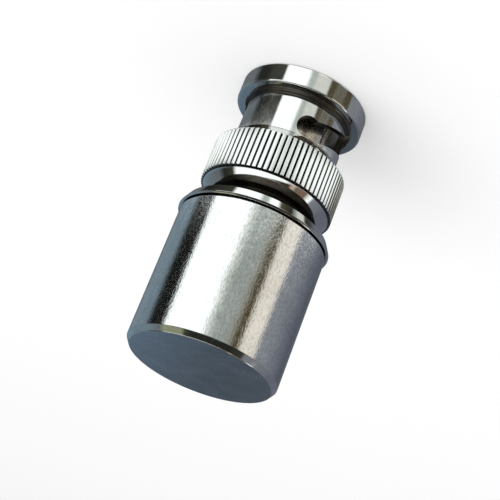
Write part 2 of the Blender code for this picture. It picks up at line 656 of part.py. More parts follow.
def build_resistor(material, cap_material):
    """Resistor: ceramic rod with a socketed front cap and a plain rear cap."""
    rod = [(0.0, RESISTOR_FRONT), (RESISTOR_RADIUS, RESISTOR_FRONT),
           (RESISTOR_RADIUS, RESISTOR_REAR), (0.0, RESISTOR_REAR)]
    turned("resistor_rod", rod, INNER_SIDES, material)
    head = RESISTOR_FRONT - SEAT_GAP - CAP_END_THICKNESS
    front_cap = [
        (SOCKET_BORE, SOCKET_FRONT),
        (SOCKET_RADIUS, SOCKET_FRONT),
        (SOCKET_RADIUS, head),
        (CAP_RADIUS, head),
        (CAP_RADIUS, RESISTOR_FRONT + CAP_SKIRT),
        (CAP_BORE, RESISTOR_FRONT + CAP_SKIRT),
        (CAP_BORE, RESISTOR_FRONT - SEAT_GAP),
        (0.0, RESISTOR_FRONT - SEAT_GAP),
        (0.0, SOCKET_FLOOR),
        (SOCKET_BORE, SOCKET_FLOOR),
    ]
    turned("resistor_front_cap", front_cap, INNER_SIDES, cap_material)
    rear_cap = [
        (CAP_BORE, RESISTOR_REAR - CAP_SKIRT),
        (CAP_RADIUS, RESISTOR_REAR - CAP_SKIRT),
        (CAP_RADIUS, REAR_CAP_REAR),
        (0.0, REAR_CAP_REAR),
        (0.0, REAR_CAP_FLOOR),
        (CAP_BORE, REAR_CAP_FLOOR),
    ]
    turned("resistor_rear_cap", rear_cap, INNER_SIDES, cap_material)


def build_taper_sleeve(material):
    """Tapered sleeve: it carries the return current and the heat to the housing."""
    seat = CAP_RADIUS + SEAT_GAP
    seat_start = RESISTOR_REAR - CAP_SKIRT
    profile = [
        (SLEEVE_MOUTH_RADIUS, SLEEVE_FRONT),
        (BOSS_RADIUS, SLEEVE_FRONT),
        (BOSS_RADIUS, SLEEVE_REAR),
        (seat, SLEEVE_REAR),
        (seat, seat_start),
    ]
    return turned("taper_sleeve", profile, INNER_SIDES, material)


def build_contact_spring(material):
    """Dished spring that presses the rear cap against the housing's end wall."""
    rise = CONTACT_SPRING_HEIGHT - CONTACT_SPRING_THICKNESS
    front = CONTACT_SPRING_FRONT
    profile = [
        (CONTACT_SPRING_BORE, front),
        (CONTACT_SPRING_RADIUS, front + rise),
        (CONTACT_SPRING_RADIUS, front + CONTACT_SPRING_HEIGHT),
        (CONTACT_SPRING_BORE, front + CONTACT_SPRING_THICKNESS),
    ]
    return turned("contact_spring", profile, INNER_SIDES, material)


def main():
    """Build every piece of the dummy load."""
    clear_scene()
    made = {name: make_material(name) for name in MATERIALS}
    nut_axis = bpy.data.objects.new("nut_axis", None)
    bpy.context.scene.collection.objects.link(nut_axis)

    build_coupling_nut(made["bright_nickel"], nut_axis)
    thrust = ring(NECK_RING_BORE, RING_OUTER, THRUST_FRONT, THRUST_REAR)
    turned("thrust_washer", thrust, INNER_SIDES, made["brass"], nut_axis)
    build_snap_ring(made["spring_steel"])
    build_wave_spring("wave_spring_front", FRONT_WAVE_FRONT, made["spring_steel"])
    build_wave_spring("wave_spring_rear", REAR_WAVE_FRONT, made["spring_steel"])

    build_plug_body(made["bright_nickel"])
    build_outer_contact(made["tinned_contact"])
    gasket = ring(CONTACT_RADIUS + SEAT_GAP, RING_OUTER, GASKET_FRONT, GASKET_REAR)
    turned("front_gasket", gasket, INNER_SIDES, made["grey_rubber"])
    build_front_insulator(made["white_plastic"])
    build_centre_pin(made["gold_plate"])
    rear_bead = ring(PIN_TAIL_RADIUS + SEAT_GAP, IN_NECK_RADIUS, REAR_INSULATOR_FRONT, REAR_INSULATOR_REAR)
    turned("rear_insulator", rear_bead, INNER_SIDES, made["white_plastic"])
    retainer = ring(RETAINER_BORE, IN_NECK_RADIUS, RETAINER_FRONT, RETAINER_REAR)
    turned("insulator_retainer", retainer, INNER_SIDES, made["brass"])
    washer = ring(SOCKET_RADIUS + SEAT_GAP, IN_NECK_RADIUS, WASHER_FRONT, WASHER_REAR)
    turned("insulating_washer", washer, INNER_SIDES, made["white_plastic"])

    build_collar(made["bright_nickel"])
    build_seal_ring(made["black_rubber"])
    build_housing(made["satin_nickel"])
    build_resistor(made["ceramic"], made["gold_plate"])
    build_taper_sleeve(made["brass"])
    build_contact_spring(made["spring_steel"])


main()
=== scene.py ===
"""Looks of the coaxial dummy load: smooth turned pieces, knurl, plating and studio."""

import math

import bmesh
import bpy
from mathutils import Matrix, Vector


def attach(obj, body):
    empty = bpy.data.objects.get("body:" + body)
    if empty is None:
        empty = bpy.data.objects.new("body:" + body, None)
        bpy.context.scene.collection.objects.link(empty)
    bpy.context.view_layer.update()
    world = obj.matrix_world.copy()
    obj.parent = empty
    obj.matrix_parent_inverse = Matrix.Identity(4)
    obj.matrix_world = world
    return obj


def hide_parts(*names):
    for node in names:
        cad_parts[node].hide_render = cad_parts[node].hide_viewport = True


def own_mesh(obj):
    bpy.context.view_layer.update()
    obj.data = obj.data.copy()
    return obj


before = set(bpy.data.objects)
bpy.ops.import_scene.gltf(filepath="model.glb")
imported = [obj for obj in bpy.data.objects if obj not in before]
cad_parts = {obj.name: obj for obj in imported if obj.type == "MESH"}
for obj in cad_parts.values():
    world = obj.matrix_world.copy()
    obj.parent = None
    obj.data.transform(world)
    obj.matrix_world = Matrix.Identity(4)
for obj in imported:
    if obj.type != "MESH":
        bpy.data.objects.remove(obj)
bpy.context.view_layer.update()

MM = 0.001
TURN_STEPS = 240              # facets round a large turned piece
SMALL_TURN_STEPS = 96         # facets round a small one
EASED_SEGMENTS = 3
SHARP_DEGREES = 38.0
WELD_DISTANCE = 1e-8          # metres
SLICE_WELD_DISTANCE = 1e-7
ON_AXIS_DISTANCE = 1e-9
HELD_RUN = 0.6                # millimetres: a straight run longer than this gets a point beside each corner
HELD_DISTANCE = 0.03
PIECE_GAP = 0.1               # between neighbouring pieces
FACE_MARGIN = 0.01            # for telling the faces that get another finish

# How far turned edges are eased, in millimetres
NOSE_EASE = 0.2
RIM_EASE = 0.16
NECK_EASE = 0.15
BEAD_EASE = 0.1
EDGE_EASE = 0.08
MOUTH_EASE = 0.06
SMALL_EASE = 0.05
RING_EASE = 0.04
CRISP_EASE = 0.03
HAIR_EASE = 0.02

# The photograph's camera, in millimetres and degrees
VIEW_TARGET_HEIGHT = 15.6
VIEW_DISTANCE = 146.38
VIEW_ELEVATION = 23.9
VIEW_ROLL = 201.519
VIEW_SIDE_STEP = -0.775
VIEW_UP_STEP = -2.935
VIEW_LENS = 99.73

# Coupling nut, in millimetres
FLANGE_RADIUS = 7.07
FLANGE_THICKNESS = 2.3
LIP_RADIUS = 6.04
LIP_END = 2.66
BARREL_RADIUS = 5.7
BARREL_END = 7.1
KNURL_START = 8.5
KNURL_END = 13.25
KNURL_RADIUS = 7.32
KNURL_LAND_RADIUS = 7.03
KNURL_END_CHAMFER = 0.13
RIDGE_COUNT = 75
# One ridge of the knurl, as (share of the pitch, depth below the crest)
RIDGE_SHAPE = (
    (0.02, 0.02), (0.14, 0.0), (0.50, 0.0), (0.63, 0.02), (0.73, 0.17), (0.83, 0.26), (0.93, 0.17),
)
PRESSED_MARGIN = 0.04         # how far the pressed band reaches below the land and behind the knurl
PRESSED_LEAD = 0.2            # and in front of it
TAPER_START = 0.05            # from the knurl's rear edge to the taper
TAPER_END_RADIUS = 5.95
TAPER_BULGE = 0.045           # how far the rear taper swells from a straight cone
NUT_LENGTH = 14.3
NUT_BORE = 4.9
NUT_ENTRY_CHAMFER = 0.3
NUT_WEB_FRONT = 13.05
NUT_WEB_REAR = 13.85
NUT_WEB_BORE = 4.22
NUT_RECESS_RADIUS = 4.97
FRONT_EDGE_WIDTH = 0.15       # of the flange's front edge that gets painted shade
FRONT_EDGE_DEPTH = 0.10

# Bayonet slots, as degrees round the axis and millimetres along it
SLOT_ENTRY_DEGREES = 182.0
SLOT_DETENT_DEGREES = 256.3
SLOT_HALF_WIDTH = 1.15
SLOT_ENTRY_HEIGHT = 3.8
SLOT_END_HEIGHT = 6.1
SLOT_END_PULLBACK = 0.8
SLOT_DETENT_HEIGHT = 5.76
SLOT_DETENT_RADIUS = 1.32
SLOT_MOUTH_RADIUS = 6.1
SLOT_MOUTH_OVERRUN = 1.0
SLOT_NEAR_RADIUS = 4.15
SLOT_FAR_RADIUS = 6.38
SLOT_SLICE_DEGREES = 3.0
SLOT_ROUND_STEPS = 48

# Plug body, contact and insulators, in millimetres
NECK_RADIUS = 4.1
NECK_BORE = 3.4
BODY_FLANGE_RADIUS = 4.78
BODY_FRONT = 11.05
BODY_FLANGE_REAR = 11.65
NECK_END = 18.5
RING_FRONT = 13.95
RING_REAR = 14.25
RING_INNER = 3.95
RING_OUTER = 4.85
RING_OPENING = 1.4
RING_GROOVE_RADIUS = 3.85
LEDGE_FRONT = 13.35
LEDGE_REAR = 13.95
LEDGE_RADIUS = 2.4
CONTACT_FRONT = 1.7
CONTACT_RADIUS = 4.05
CONTACT_NECKED_RADIUS = 3.92
CONTACT_BORE = 3.45
CONTACT_SPIGOT_RADIUS = 3.3
CONTACT_SPIGOT_BORE = 2.8
CONTACT_BEAD_LENGTH = 0.9
FINGER_ROOT = 8.9
FINGER_SLIT_END = 8.4
FINGER_SLIT_WIDTH = 0.35
FINGER_SLIT_DEGREES = 216.3
FINGER_COUNT = 4
FINGER_SLIT_STEP = 0.5        # from the bore to the middle of a slit's cut
FINGER_SLIT_OVERRUN = 1.0
GASKET_INNER = 4.15
GASKET_FRONT = 10.25
GASKET_REAR = 10.95
NOSE_FRONT = 3.0
NOSE_RADIUS = 2.4
NOSE_SOCKET_RADIUS = 1.2
NOSE_SOCKET_END = 9.0
PIN_RADIUS = 0.675
PIN_TIP = 2.0
PIN_TIP_FLAT = 0.33
PIN_TIP_TAPER = 0.9
PIN_TAIL_RADIUS = 0.8
PIN_END = 17.85
PIN_HOLE = 0.775
SPIGOT_REAR = 13.25

# Spring washers, in millimetres
WAVE_INNER = 4.2
WAVE_OUTER = 4.78
WAVE_THICKNESS = 0.12
WAVE_HEIGHT = 0.40
WAVE_COUNT = 3
FRONT_WAVE_START = 11.75
REAR_WAVE_START = 12.25

# Collar, seam and housing, in millimetres
COLLAR_FRONT = 16.1
COLLAR_FRONT_RADIUS = 7.85
COLLAR_SLOPE_END = 17.1
COLLAR_RADIUS = 8.39
COLLAR_REAR = 17.3
COLLAR_EDGE_CHAMFER = 0.14
BOSS_RADIUS = 6.85
BOSS_END = 20.3
THROAT_RADIUS = 3.4
SEAL_CENTRE_RADIUS = 7.25
SEAL_CENTRE_HEIGHT = 17.7
SEAL_WIRE_RADIUS = 0.30
SEAL_WIRE_SIDES = 16
SEAL_SEAT_RADIUS = 7.65
SEAL_SEAT_END = 18.1
HOUSING_RADIUS = 8.1
HOUSING_BORE = 6.95
HOUSING_FRONT = 17.5
HOUSING_FLOOR = 29.41
HOUSING_END = 33.05
END_CHAMFER_WIDTH = 0.42
END_CHAMFER_LENGTH = 0.62
END_FACE_MARGIN = 0.001


def held_outline(outline):
    """Add a point beside each corner of a long run, so that its shading stays true up to the corner."""
    points = []
    for point, after in zip(outline, [*outline[1:], outline[0]]):
        points.append(point)
        run = Vector((after[0] - point[0], after[1] - point[1]))
        if run.length > HELD_RUN:
            first = sum(point[2:]) + HELD_DISTANCE
            last = run.length - sum(after[2:]) - HELD_DISTANCE
            for distance in (first, last):
                share = distance / run.length
                points.append((point[0] + run.x * share, point[1] + run.y * share))
    return points


def turned_mesh(outline, steps=TURN_STEPS, open_degrees=0.0):
    """Spin a closed outline of (radius, height) or (radius, height, easing) corners, in millimetres."""
    outline = held_outline(outline)
    model = bmesh.new()
    corners = [model.verts.new((point[0] * MM, 0.0, point[1] * MM)) for point in outline]
    model.faces.new(corners)
    easings = {point[2] for point in outline if len(point) == 3}
    for easing in sorted(easings):
        soft = [corner for corner, point in zip(corners, outline) if point[2:] == (easing,)]
        bmesh.ops.bevel(model, geom=soft, offset=easing * MM, offset_type="OFFSET", affect="VERTICES",
                        segments=EASED_SEGMENTS, profile=0.5, material=-1)
    full = open_degrees == 0.0
    if full:
        bmesh.ops.delete(model, geom=model.faces[:], context="FACES_ONLY")
        on_axis = [edge for edge in model.edges if max(vert.co.x for vert in edge.verts) < ON_AXIS_DISTANCE]
        bmesh.ops.delete(model, geom=on_axis, context="EDGES")
    bmesh.ops.spin(model, geom=model.verts[:] + model.edges[:] + model.faces[:], axis=(0.0, 0.0, 1.0),
                   cent=(0.0, 0.0, 0.0), angle=math.radians(360.0 - open_degrees), steps=steps,
                   use_merge=full)
    return model


def finish_piece(model, name, material, body, replaced):
    """Turn a bmesh into a finished piece that rides on a body and stands for a CAD node."""
    bmesh.ops.remove_doubles(model, verts=model.verts[:], dist=WELD_DISTANCE)
    model.normal_update()
    bmesh.ops.recalc_face_normals(model, faces=model.faces[:])
    mesh = bpy.data.meshes.new(name)
    model.to_mesh(mesh)
    model.free()
    return dress_mesh(mesh, name, material, body, replaced)


def dress_mesh(mesh, name, material, body, replaced):
    """Link a mesh as a piece, with its material, body and the CAD node that it stands for."""
    mesh.shade_smooth()
    mesh.set_sharp_from_angle(angle=math.radians(SHARP_DEGREES))
    mesh.materials.clear()
    mesh.materials.append(material)
    piece = bpy.data.objects.new(name, mesh)
    bpy.context.scene.collection.objects.link(piece)
    even = piece.modifiers.new("even_shading", "WEIGHTED_NORMAL")
    even.keep_sharp = True
    even.weight = 90
    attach(piece, body)
    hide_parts(replaced)
    return piece


def turned_piece(name, outline, material, body, replaced, steps=TURN_STEPS):
    """Make one plain turned piece."""
    return finish_piece(turned_mesh(outline, steps), name, material, body, replaced)


def give_finish(piece, material, chosen):
    """Give another material to the faces for which chosen(radius, height), in millimetres, is true."""
    piece.data.materials.append(material)
    index = len(piece.data.materials) - 1
    for face in piece.data.polygons:
        if chosen(face.center.xy.length / MM, face.center.z / MM):
            face.material_index = index


def flat_ring(inner, outer, front, rear, easing=RING_EASE):
    """Return the outline of a flat ring with eased edges."""
    return [(inner, front, easing), (outer, front, easing), (outer, rear, easing), (inner, rear, easing)]


def curved_edge(start, end, bulge, steps=8):
    """Return points of an outline that swells out between two corners."""
    run = Vector((end[0] - start[0], end[1] - start[1]))
    out = Vector((-run.y, run.x)).normalized()
    if out.x < 0.0:
        out = -out
    points = []
    for step in range(steps + 1):
        share = step / steps
        swell = 4.0 * bulge * share * (1.0 - share)
        points.append((start[0] + run.x * share + out.x * swell, start[1] + run.y * share + out.y * swell))
    return points


def scratch_object(model, name):
    """Link a bmesh as an object that is used in a cut and then removed."""
    model.normal_update()
    bmesh.ops.recalc_face_normals(model, faces=model.faces[:])
    mesh = bpy.data.meshes.new(name)
    model.to_mesh(mesh)
    model.free()
    item = bpy.data.objects.new(name, mesh)
    bpy.context.scene.collection.objects.link(item)
    return item


def combined_mesh(base, tools, operation):
    """Join or cut a scratch object by others and return the new mesh; all of them are removed."""
    for tool in tools:
        modifier = base.modifiers.new("with_" + tool.name, "BOOLEAN")
        modifier.operation = operation
        modifier.solver = "EXACT"
        modifier.object = tool
    depsgraph = bpy.context.evaluated_depsgraph_get()
    mesh = bpy.data.meshes.new_from_object(base.evaluated_get(depsgraph), depsgraph=depsgraph)
    for item in [base, *tools]:
        bpy.data.objects.remove(item, do_unlink=True)
    return mesh


def flat_bar(start, end, half_width, near, far):
    """Return a flat bar between two (length, height) points, square at its ends."""
    run = Vector((end[0] - start[0], end[1] - start[1]))
    middle = ((start[0] + end[0]) / 2.0, (near + far) / 2.0, (start[1] + end[1]) / 2.0)
    place = (
        Matrix.Translation(Vector(middle) * MM)
        @ Matrix.Rotation(-math.atan2(run.y, run.x), 4, "Y")
        @ Matrix.Diagonal((run.length * MM, (far - near) * MM, 2.0 * half_width * MM, 1.0))
    )
    model = bmesh.new()
    bmesh.ops.create_cube(model, size=1.0, matrix=place)
    return model


def flat_disc(centre, radius, near, far):
    """Return a flat round plug at one (length, height) point."""
    place = (
        Matrix.Translation(Vector((centre[0], (near + far) / 2.0, centre[1])) * MM)
        @ Matrix.Rotation(math.radians(90.0), 4, "X")
    )
    model = bmesh.new()
    bmesh.ops.create_cone(model, cap_ends=True, segments=SLOT_ROUND_STEPS, radius1=radius * MM,
                          radius2=radius * MM, depth=(far - near) * MM, matrix=place)
    return model


def wrapped_tool(mesh, turn_degrees, name):
    """Slice a flat tool crosswise and wrap it round the axis at the barrel's radius."""
    model = bmesh.new()
    model.from_mesh(mesh)
    bmesh.ops.triangulate(model, faces=model.faces[:])
    step = math.radians(SLOT_SLICE_DEGREES) * BARREL_RADIUS * MM
    first = min(vert.co.x for vert in model.verts)
    last = max(vert.co.x for vert in model.verts)
    place = first + step
    while place < last:
        bmesh.ops.bisect_plane(model, geom=model.verts[:] + model.edges[:] + model.faces[:],
                               plane_co=(place, 0.0, 0.0), plane_no=(1.0, 0.0, 0.0))
        place += step
    bmesh.ops.remove_doubles(model, verts=model.verts[:], dist=SLICE_WELD_DISTANCE)
    bmesh.ops.triangulate(model, faces=model.faces[:])
    for vert in model.verts:
        angle = vert.co.x / (BARREL_RADIUS * MM) + math.radians(turn_degrees)
        vert.co = Vector((vert.co.y * math.cos(angle), vert.co.y * math.sin(angle), vert.co.z))
    return scratch_object(model, name)


def slot_tools():
    """Return one cutting tool for each bayonet slot."""
    along = math.radians(SLOT_DETENT_DEGREES - SLOT_ENTRY_DEGREES) * BARREL_RADIUS
    end_share = 1.0 - SLOT_END_PULLBACK / along
    entry = (0.0, SLOT_ENTRY_HEIGHT)
    end = (along * end_share, SLOT_ENTRY_HEIGHT + (SLOT_END_HEIGHT - SLOT_ENTRY_HEIGHT) * end_share)
    detent = (along, SLOT_DETENT_HEIGHT)
    mouth = (0.0, -SLOT_MOUTH_OVERRUN)
    near, far = SLOT_NEAR_RADIUS, SLOT_FAR_RADIUS
    base = scratch_object(flat_bar(entry, end, SLOT_HALF_WIDTH, near, far), "slot_ramp")
    others = [
        scratch_object(flat_disc(entry, SLOT_HALF_WIDTH, near, far), "slot_start"),
        scratch_object(flat_disc(end, SLOT_HALF_WIDTH, near, far), "slot_end"),
        scratch_object(flat_disc(detent, SLOT_DETENT_RADIUS, near, far), "slot_detent"),
        scratch_object(flat_bar(mouth, entry, SLOT_HALF_WIDTH, near, SLOT_MOUTH_RADIUS), "slot_mouth"),
    ]
    flat = combined_mesh(base, others, "UNION")
    return [wrapped_tool(flat, SLOT_ENTRY_DEGREES + turn, f"slot_tool_{turn}") for turn in (0, 180)]


def knurl(model):
    """Press the ridges into the knurled band of a nut that was spun with a step for each ridge point."""
    pitch = math.tau / RIDGE_COUNT
    steps = len(RIDGE_SHAPE)
    front = (KNURL_START - PRESSED_LEAD) * MM
    rear = (KNURL_END + PRESSED_MARGIN) * MM
    for vert in model.verts:
        radius = vert.co.xy.length
        if radius < (KNURL_LAND_RADIUS - PRESSED_MARGIN) * MM or not front < vert.co.z < rear:
            continue
        angle = math.atan2(vert.co.y, vert.co.x) % math.tau
        count = round(angle / pitch * steps)
        ridge, place = divmod(count, steps)
        share, depth = RIDGE_SHAPE[place]
        moved = (ridge + share) * pitch
        radius = min(radius, (KNURL_RADIUS - depth) * MM)
        vert.co.x = radius * math.cos(moved)
        vert.co.y = radius * math.sin(moved)


def nut_outline():
    """Return the coupling nut's section: flange, lip, barrel, knurl, swollen taper, recess and web."""
    taper_front = (KNURL_LAND_RADIUS, KNURL_END + TAPER_START)
    return [
        (NUT_BORE, NUT_ENTRY_CHAMFER),
        (NUT_BORE + NUT_ENTRY_CHAMFER, 0.0, SMALL_EASE),
        (FLANGE_RADIUS, 0.0, RIM_EASE),
        (FLANGE_RADIUS, FLANGE_THICKNESS, RIM_EASE),
        (LIP_RADIUS, FLANGE_THICKNESS, HAIR_EASE),
        (LIP_RADIUS, LIP_END, CRISP_EASE),
        (BARREL_RADIUS, LIP_END, HAIR_EASE),
        (BARREL_RADIUS, BARREL_END, EDGE_EASE),
        (KNURL_LAND_RADIUS, KNURL_START - KNURL_END_CHAMFER),
        (KNURL_RADIUS, KNURL_START, RING_EASE),
        (KNURL_RADIUS, KNURL_END - KNURL_END_CHAMFER, RING_EASE),
        (KNURL_LAND_RADIUS, KNURL_END, CRISP_EASE),
        *curved_edge(taper_front, (TAPER_END_RADIUS, NUT_LENGTH), TAPER_BULGE),
        (NUT_RECESS_RADIUS, NUT_LENGTH, SMALL_EASE),
        (NUT_RECESS_RADIUS, NUT_WEB_REAR),
        (NUT_WEB_BORE, NUT_WEB_REAR, SMALL_EASE),
        (NUT_WEB_BORE, NUT_WEB_FRONT, SMALL_EASE),
        (NUT_BORE, NUT_WEB_FRONT),
    ]


def painted_shade_on_nut(radius, height):
    """Tell the nut's faces that get painted shade: bore, slot walls, rear face, lip and the flange's front
    edge.
    """
    inside = radius < BARREL_RADIUS - 2.0 * FACE_MARGIN
    rear_face = height > NUT_LENGTH - FACE_MARGIN
    beside_lip = FLANGE_THICKNESS + FACE_MARGIN < height < LIP_END + 2.0 * FACE_MARGIN
    lip = radius < LIP_RADIUS + FACE_MARGIN and beside_lip
    front_edge = radius > FLANGE_RADIUS - FRONT_EDGE_WIDTH and height < FRONT_EDGE_DEPTH
    return inside or rear_face or lip or front_edge


def make_nut(material, painted_shade_material):
    """Coupling nut: flange, slotted barrel, knurled grip and rounded rear."""
    blank = turned_mesh(nut_outline(), RIDGE_COUNT * len(RIDGE_SHAPE))
    bmesh.ops.remove_doubles(blank, verts=blank.verts[:], dist=WELD_DISTANCE)
    knurl(blank)
    mesh = combined_mesh(scratch_object(blank, "nut_blank"), slot_tools(), "DIFFERENCE")
    piece = dress_mesh(mesh, "nut_shell", material, "nut", "coupling_nut")
    # Painted shade: the bore, slot walls, rear face, lip and flange's front edge get the dark nickel
    give_finish(piece, painted_shade_material, painted_shade_on_nut)
    return piece


def make_collar(material, front_shade_material):
    """Collar: sloped front, narrow rim and the boss inside the housing."""
    throat_front = NECK_END + PIECE_GAP
    outline = [
        (NECK_RADIUS + PIECE_GAP, COLLAR_FRONT, SMALL_EASE),
        (COLLAR_FRONT_RADIUS, COLLAR_FRONT, EDGE_EASE),
        (COLLAR_RADIUS, COLLAR_SLOPE_END, CRISP_EASE),
        (COLLAR_RADIUS - COLLAR_EDGE_CHAMFER, COLLAR_REAR, HAIR_EASE),
        (BOSS_RADIUS, COLLAR_REAR),
        (BOSS_RADIUS, BOSS_END, SMALL_EASE),
        (THROAT_RADIUS, BOSS_END),
        (THROAT_RADIUS, throat_front),
        (NECK_RADIUS + PIECE_GAP, throat_front),
    ]
    piece = turned_piece("collar_ring", outline, material, "load", "rear_collar")
    # Painted shade: the collar's flat front face, in the gap behind the nut, gets the dark nickel
    give_finish(piece, front_shade_material, lambda radius, height: height < COLLAR_FRONT + 2.0 * FACE_MARGIN)
    return piece


def make_housing(material, face_material, chamfer_material):
    """Load housing: plain cylinder, chamfer and faced end."""
    chamfer_front = HOUSING_END - END_CHAMFER_LENGTH
    outline = [
        (SEAL_SEAT_RADIUS, HOUSING_FRONT, RING_EASE),
        (HOUSING_RADIUS, HOUSING_FRONT, MOUTH_EASE),
        (HOUSING_RADIUS, chamfer_front, SMALL_EASE),
        (HOUSING_RADIUS - END_CHAMFER_WIDTH, HOUSING_END, SMALL_EASE),
        (0.0, HOUSING_END),
        (0.0, HOUSING_FLOOR),
        (HOUSING_BORE, HOUSING_FLOOR),
        (HOUSING_BORE, SEAL_SEAT_END),
        (SEAL_SEAT_RADIUS, SEAL_SEAT_END),
    ]
    piece = turned_piece("housing_shell", outline, material, "load", "load_housing")
    face_front = HOUSING_END - END_FACE_MARGIN
    chamfer_front -= 4.0 * FACE_MARGIN
    give_finish(piece, face_material, lambda radius, height: height > face_front)
    give_finish(piece, chamfer_material, lambda radius, height: chamfer_front < height <= face_front)
    return piece


def make_neck(material):
    """Plug body: flange, neck, groove and the ledge in its bore."""
    outline = [
        (NECK_BORE, BODY_FRONT),
        (BODY_FLANGE_RADIUS, BODY_FRONT, SMALL_EASE),
        (BODY_FLANGE_RADIUS, BODY_FLANGE_REAR, SMALL_EASE),
        (NECK_RADIUS, BODY_FLANGE_REAR),
        (NECK_RADIUS, RING_FRONT - PIECE_GAP),
        (RING_GROOVE_RADIUS, RING_FRONT - PIECE_GAP),
        (RING_GROOVE_RADIUS, RING_REAR + PIECE_GAP),
        (NECK_RADIUS, RING_REAR + PIECE_GAP),
        (NECK_RADIUS, NECK_END, NECK_EASE),
        (NECK_BORE, NECK_END),
        (NECK_BORE, LEDGE_REAR),
        (LEDGE_RADIUS, LEDGE_REAR),
        (LEDGE_RADIUS, LEDGE_FRONT),
        (NECK_BORE, LEDGE_FRONT),
    ]
    return turned_piece("plug_neck", outline, material, "load", "plug_body",
                        SMALL_TURN_STEPS)


def finger_slits():
    """Return the bars that slit the contact into fingers."""
    slits = bmesh.new()
    size = (CONTACT_RADIUS * MM, FINGER_SLIT_WIDTH * MM, (FINGER_SLIT_END + FINGER_SLIT_OVERRUN) * MM, 1.0)
    middle = Vector((CONTACT_BORE + FINGER_SLIT_STEP, 0.0, (FINGER_SLIT_END - FINGER_SLIT_OVERRUN) / 2.0))
    for index in range(FINGER_COUNT):
        place = (
            Matrix.Rotation(math.radians(FINGER_SLIT_DEGREES) + math.tau * index / FINGER_COUNT, 4, "Z")
            @ Matrix.Translation(middle * MM)
            @ Matrix.Diagonal(size)
        )
        bmesh.ops.create_cube(slits, size=1.0, matrix=place)
    return slits


def make_contact(material):
    """Outer contact: a sprung sleeve slit into four fingers."""
    seat = BODY_FRONT - PIECE_GAP
    tier = CONTACT_BORE - CONTACT_SPIGOT_BORE
    outline = [
        (CONTACT_BORE, CONTACT_FRONT, EDGE_EASE),
        (CONTACT_NECKED_RADIUS, CONTACT_FRONT, EDGE_EASE),
        (CONTACT_RADIUS, CONTACT_FRONT + CONTACT_BEAD_LENGTH / 3.0, BEAD_EASE),
        (CONTACT_RADIUS, CONTACT_FRONT + CONTACT_BEAD_LENGTH * 2.0 / 3.0, BEAD_EASE),
        (CONTACT_NECKED_RADIUS, CONTACT_FRONT + CONTACT_BEAD_LENGTH, BEAD_EASE),
        (CONTACT_NECKED_RADIUS, FINGER_ROOT, SMALL_EASE),
        (CONTACT_RADIUS, FINGER_ROOT, SMALL_EASE),
        (CONTACT_RADIUS, seat),
        (CONTACT_SPIGOT_RADIUS, seat),
        (CONTACT_SPIGOT_RADIUS, SPIGOT_REAR),
        (CONTACT_SPIGOT_BORE, SPIGOT_REAR),
        (CONTACT_SPIGOT_BORE, seat),
        (CONTACT_BORE, seat - tier),
    ]
    blank = turned_mesh(outline, SMALL_TURN_STEPS)
    bmesh.ops.remove_doubles(blank, verts=blank.verts[:], dist=WELD_DISTANCE)
    tools = [scratch_object(finger_slits(), "finger_slits")]
    mesh = combined_mesh(scratch_object(blank, "contact_blank"), tools, "DIFFERENCE")
    return dress_mesh(mesh, "contact_sleeve", material, "load", "outer_contact")


def make_insulator(material):
    """Front insulator: a nose round the pin."""
    tier = CONTACT_BORE - CONTACT_SPIGOT_BORE
    nose_end = BODY_FRONT - PIECE_GAP - tier
    flange = CONTACT_SPIGOT_BORE - PIECE_GAP
    outline = [
        (NOSE_SOCKET_RADIUS, NOSE_FRONT, BEAD_EASE),
        (NOSE_RADIUS, NOSE_FRONT, NOSE_EASE),
        (NOSE_RADIUS, nose_end),
        (flange, nose_end + flange - NOSE_RADIUS),
        (flange, SPIGOT_REAR),
        (PIN_HOLE, SPIGOT_REAR),
        (PIN_HOLE, NOSE_SOCKET_END),
        (NOSE_SOCKET_RADIUS, NOSE_SOCKET_END),
    ]
    return turned_piece("pin_insulator", outline, material, "load", "front_insulator",
                        SMALL_TURN_STEPS)


def make_pin(material):
    """Centre pin with a rounded tip."""
    outline = [
        (0.0, PIN_TIP),
        (PIN_TIP_FLAT, PIN_TIP, NOSE_EASE),
        (PIN_RADIUS, PIN_TIP + PIN_TIP_TAPER, NOSE_EASE),
        (PIN_RADIUS, LEDGE_FRONT),
        (NOSE_SOCKET_RADIUS, LEDGE_FRONT),
        (NOSE_SOCKET_RADIUS, LEDGE_REAR),
        (PIN_TAIL_RADIUS, LEDGE_REAR),
        (PIN_TAIL_RADIUS, PIN_END, BEAD_EASE),
        (0.0, PIN_END),
    ]
    return turned_piece("contact_pin", outline, material, "load", "centre_pin",
                        SMALL_TURN_STEPS)


def make_seal(material):
    """Round seal ring in the seam between the collar and the housing."""
    model = bmesh.new()
    bmesh.ops.create_circle(
        model, segments=SEAL_WIRE_SIDES, radius=SEAL_WIRE_RADIUS * MM,
        matrix=Matrix.Translation(Vector((SEAL_CENTRE_RADIUS, 0.0, SEAL_CENTRE_HEIGHT)) * MM)
        @ Matrix.Rotation(math.radians(90.0), 4, "X"),
    )
    bmesh.ops.spin(model, geom=model.verts[:] + model.edges[:], axis=(0.0, 0.0, 1.0),
                   cent=(0.0, 0.0, 0.0), angle=math.tau, steps=SMALL_TURN_STEPS, use_merge=True)
    return finish_piece(model, "seam_ring", material, "load", "seam_seal")


def make_snap_ring(material):
    """Open ring that keeps the nut on the neck."""
    opening = math.degrees(RING_OPENING / RING_OUTER)
    model = turned_mesh(flat_ring(RING_INNER, RING_OUTER, RING_FRONT, RING_REAR), SMALL_TURN_STEPS, opening)
    return finish_piece(model, "retaining_ring", material, "load", "snap_ring")


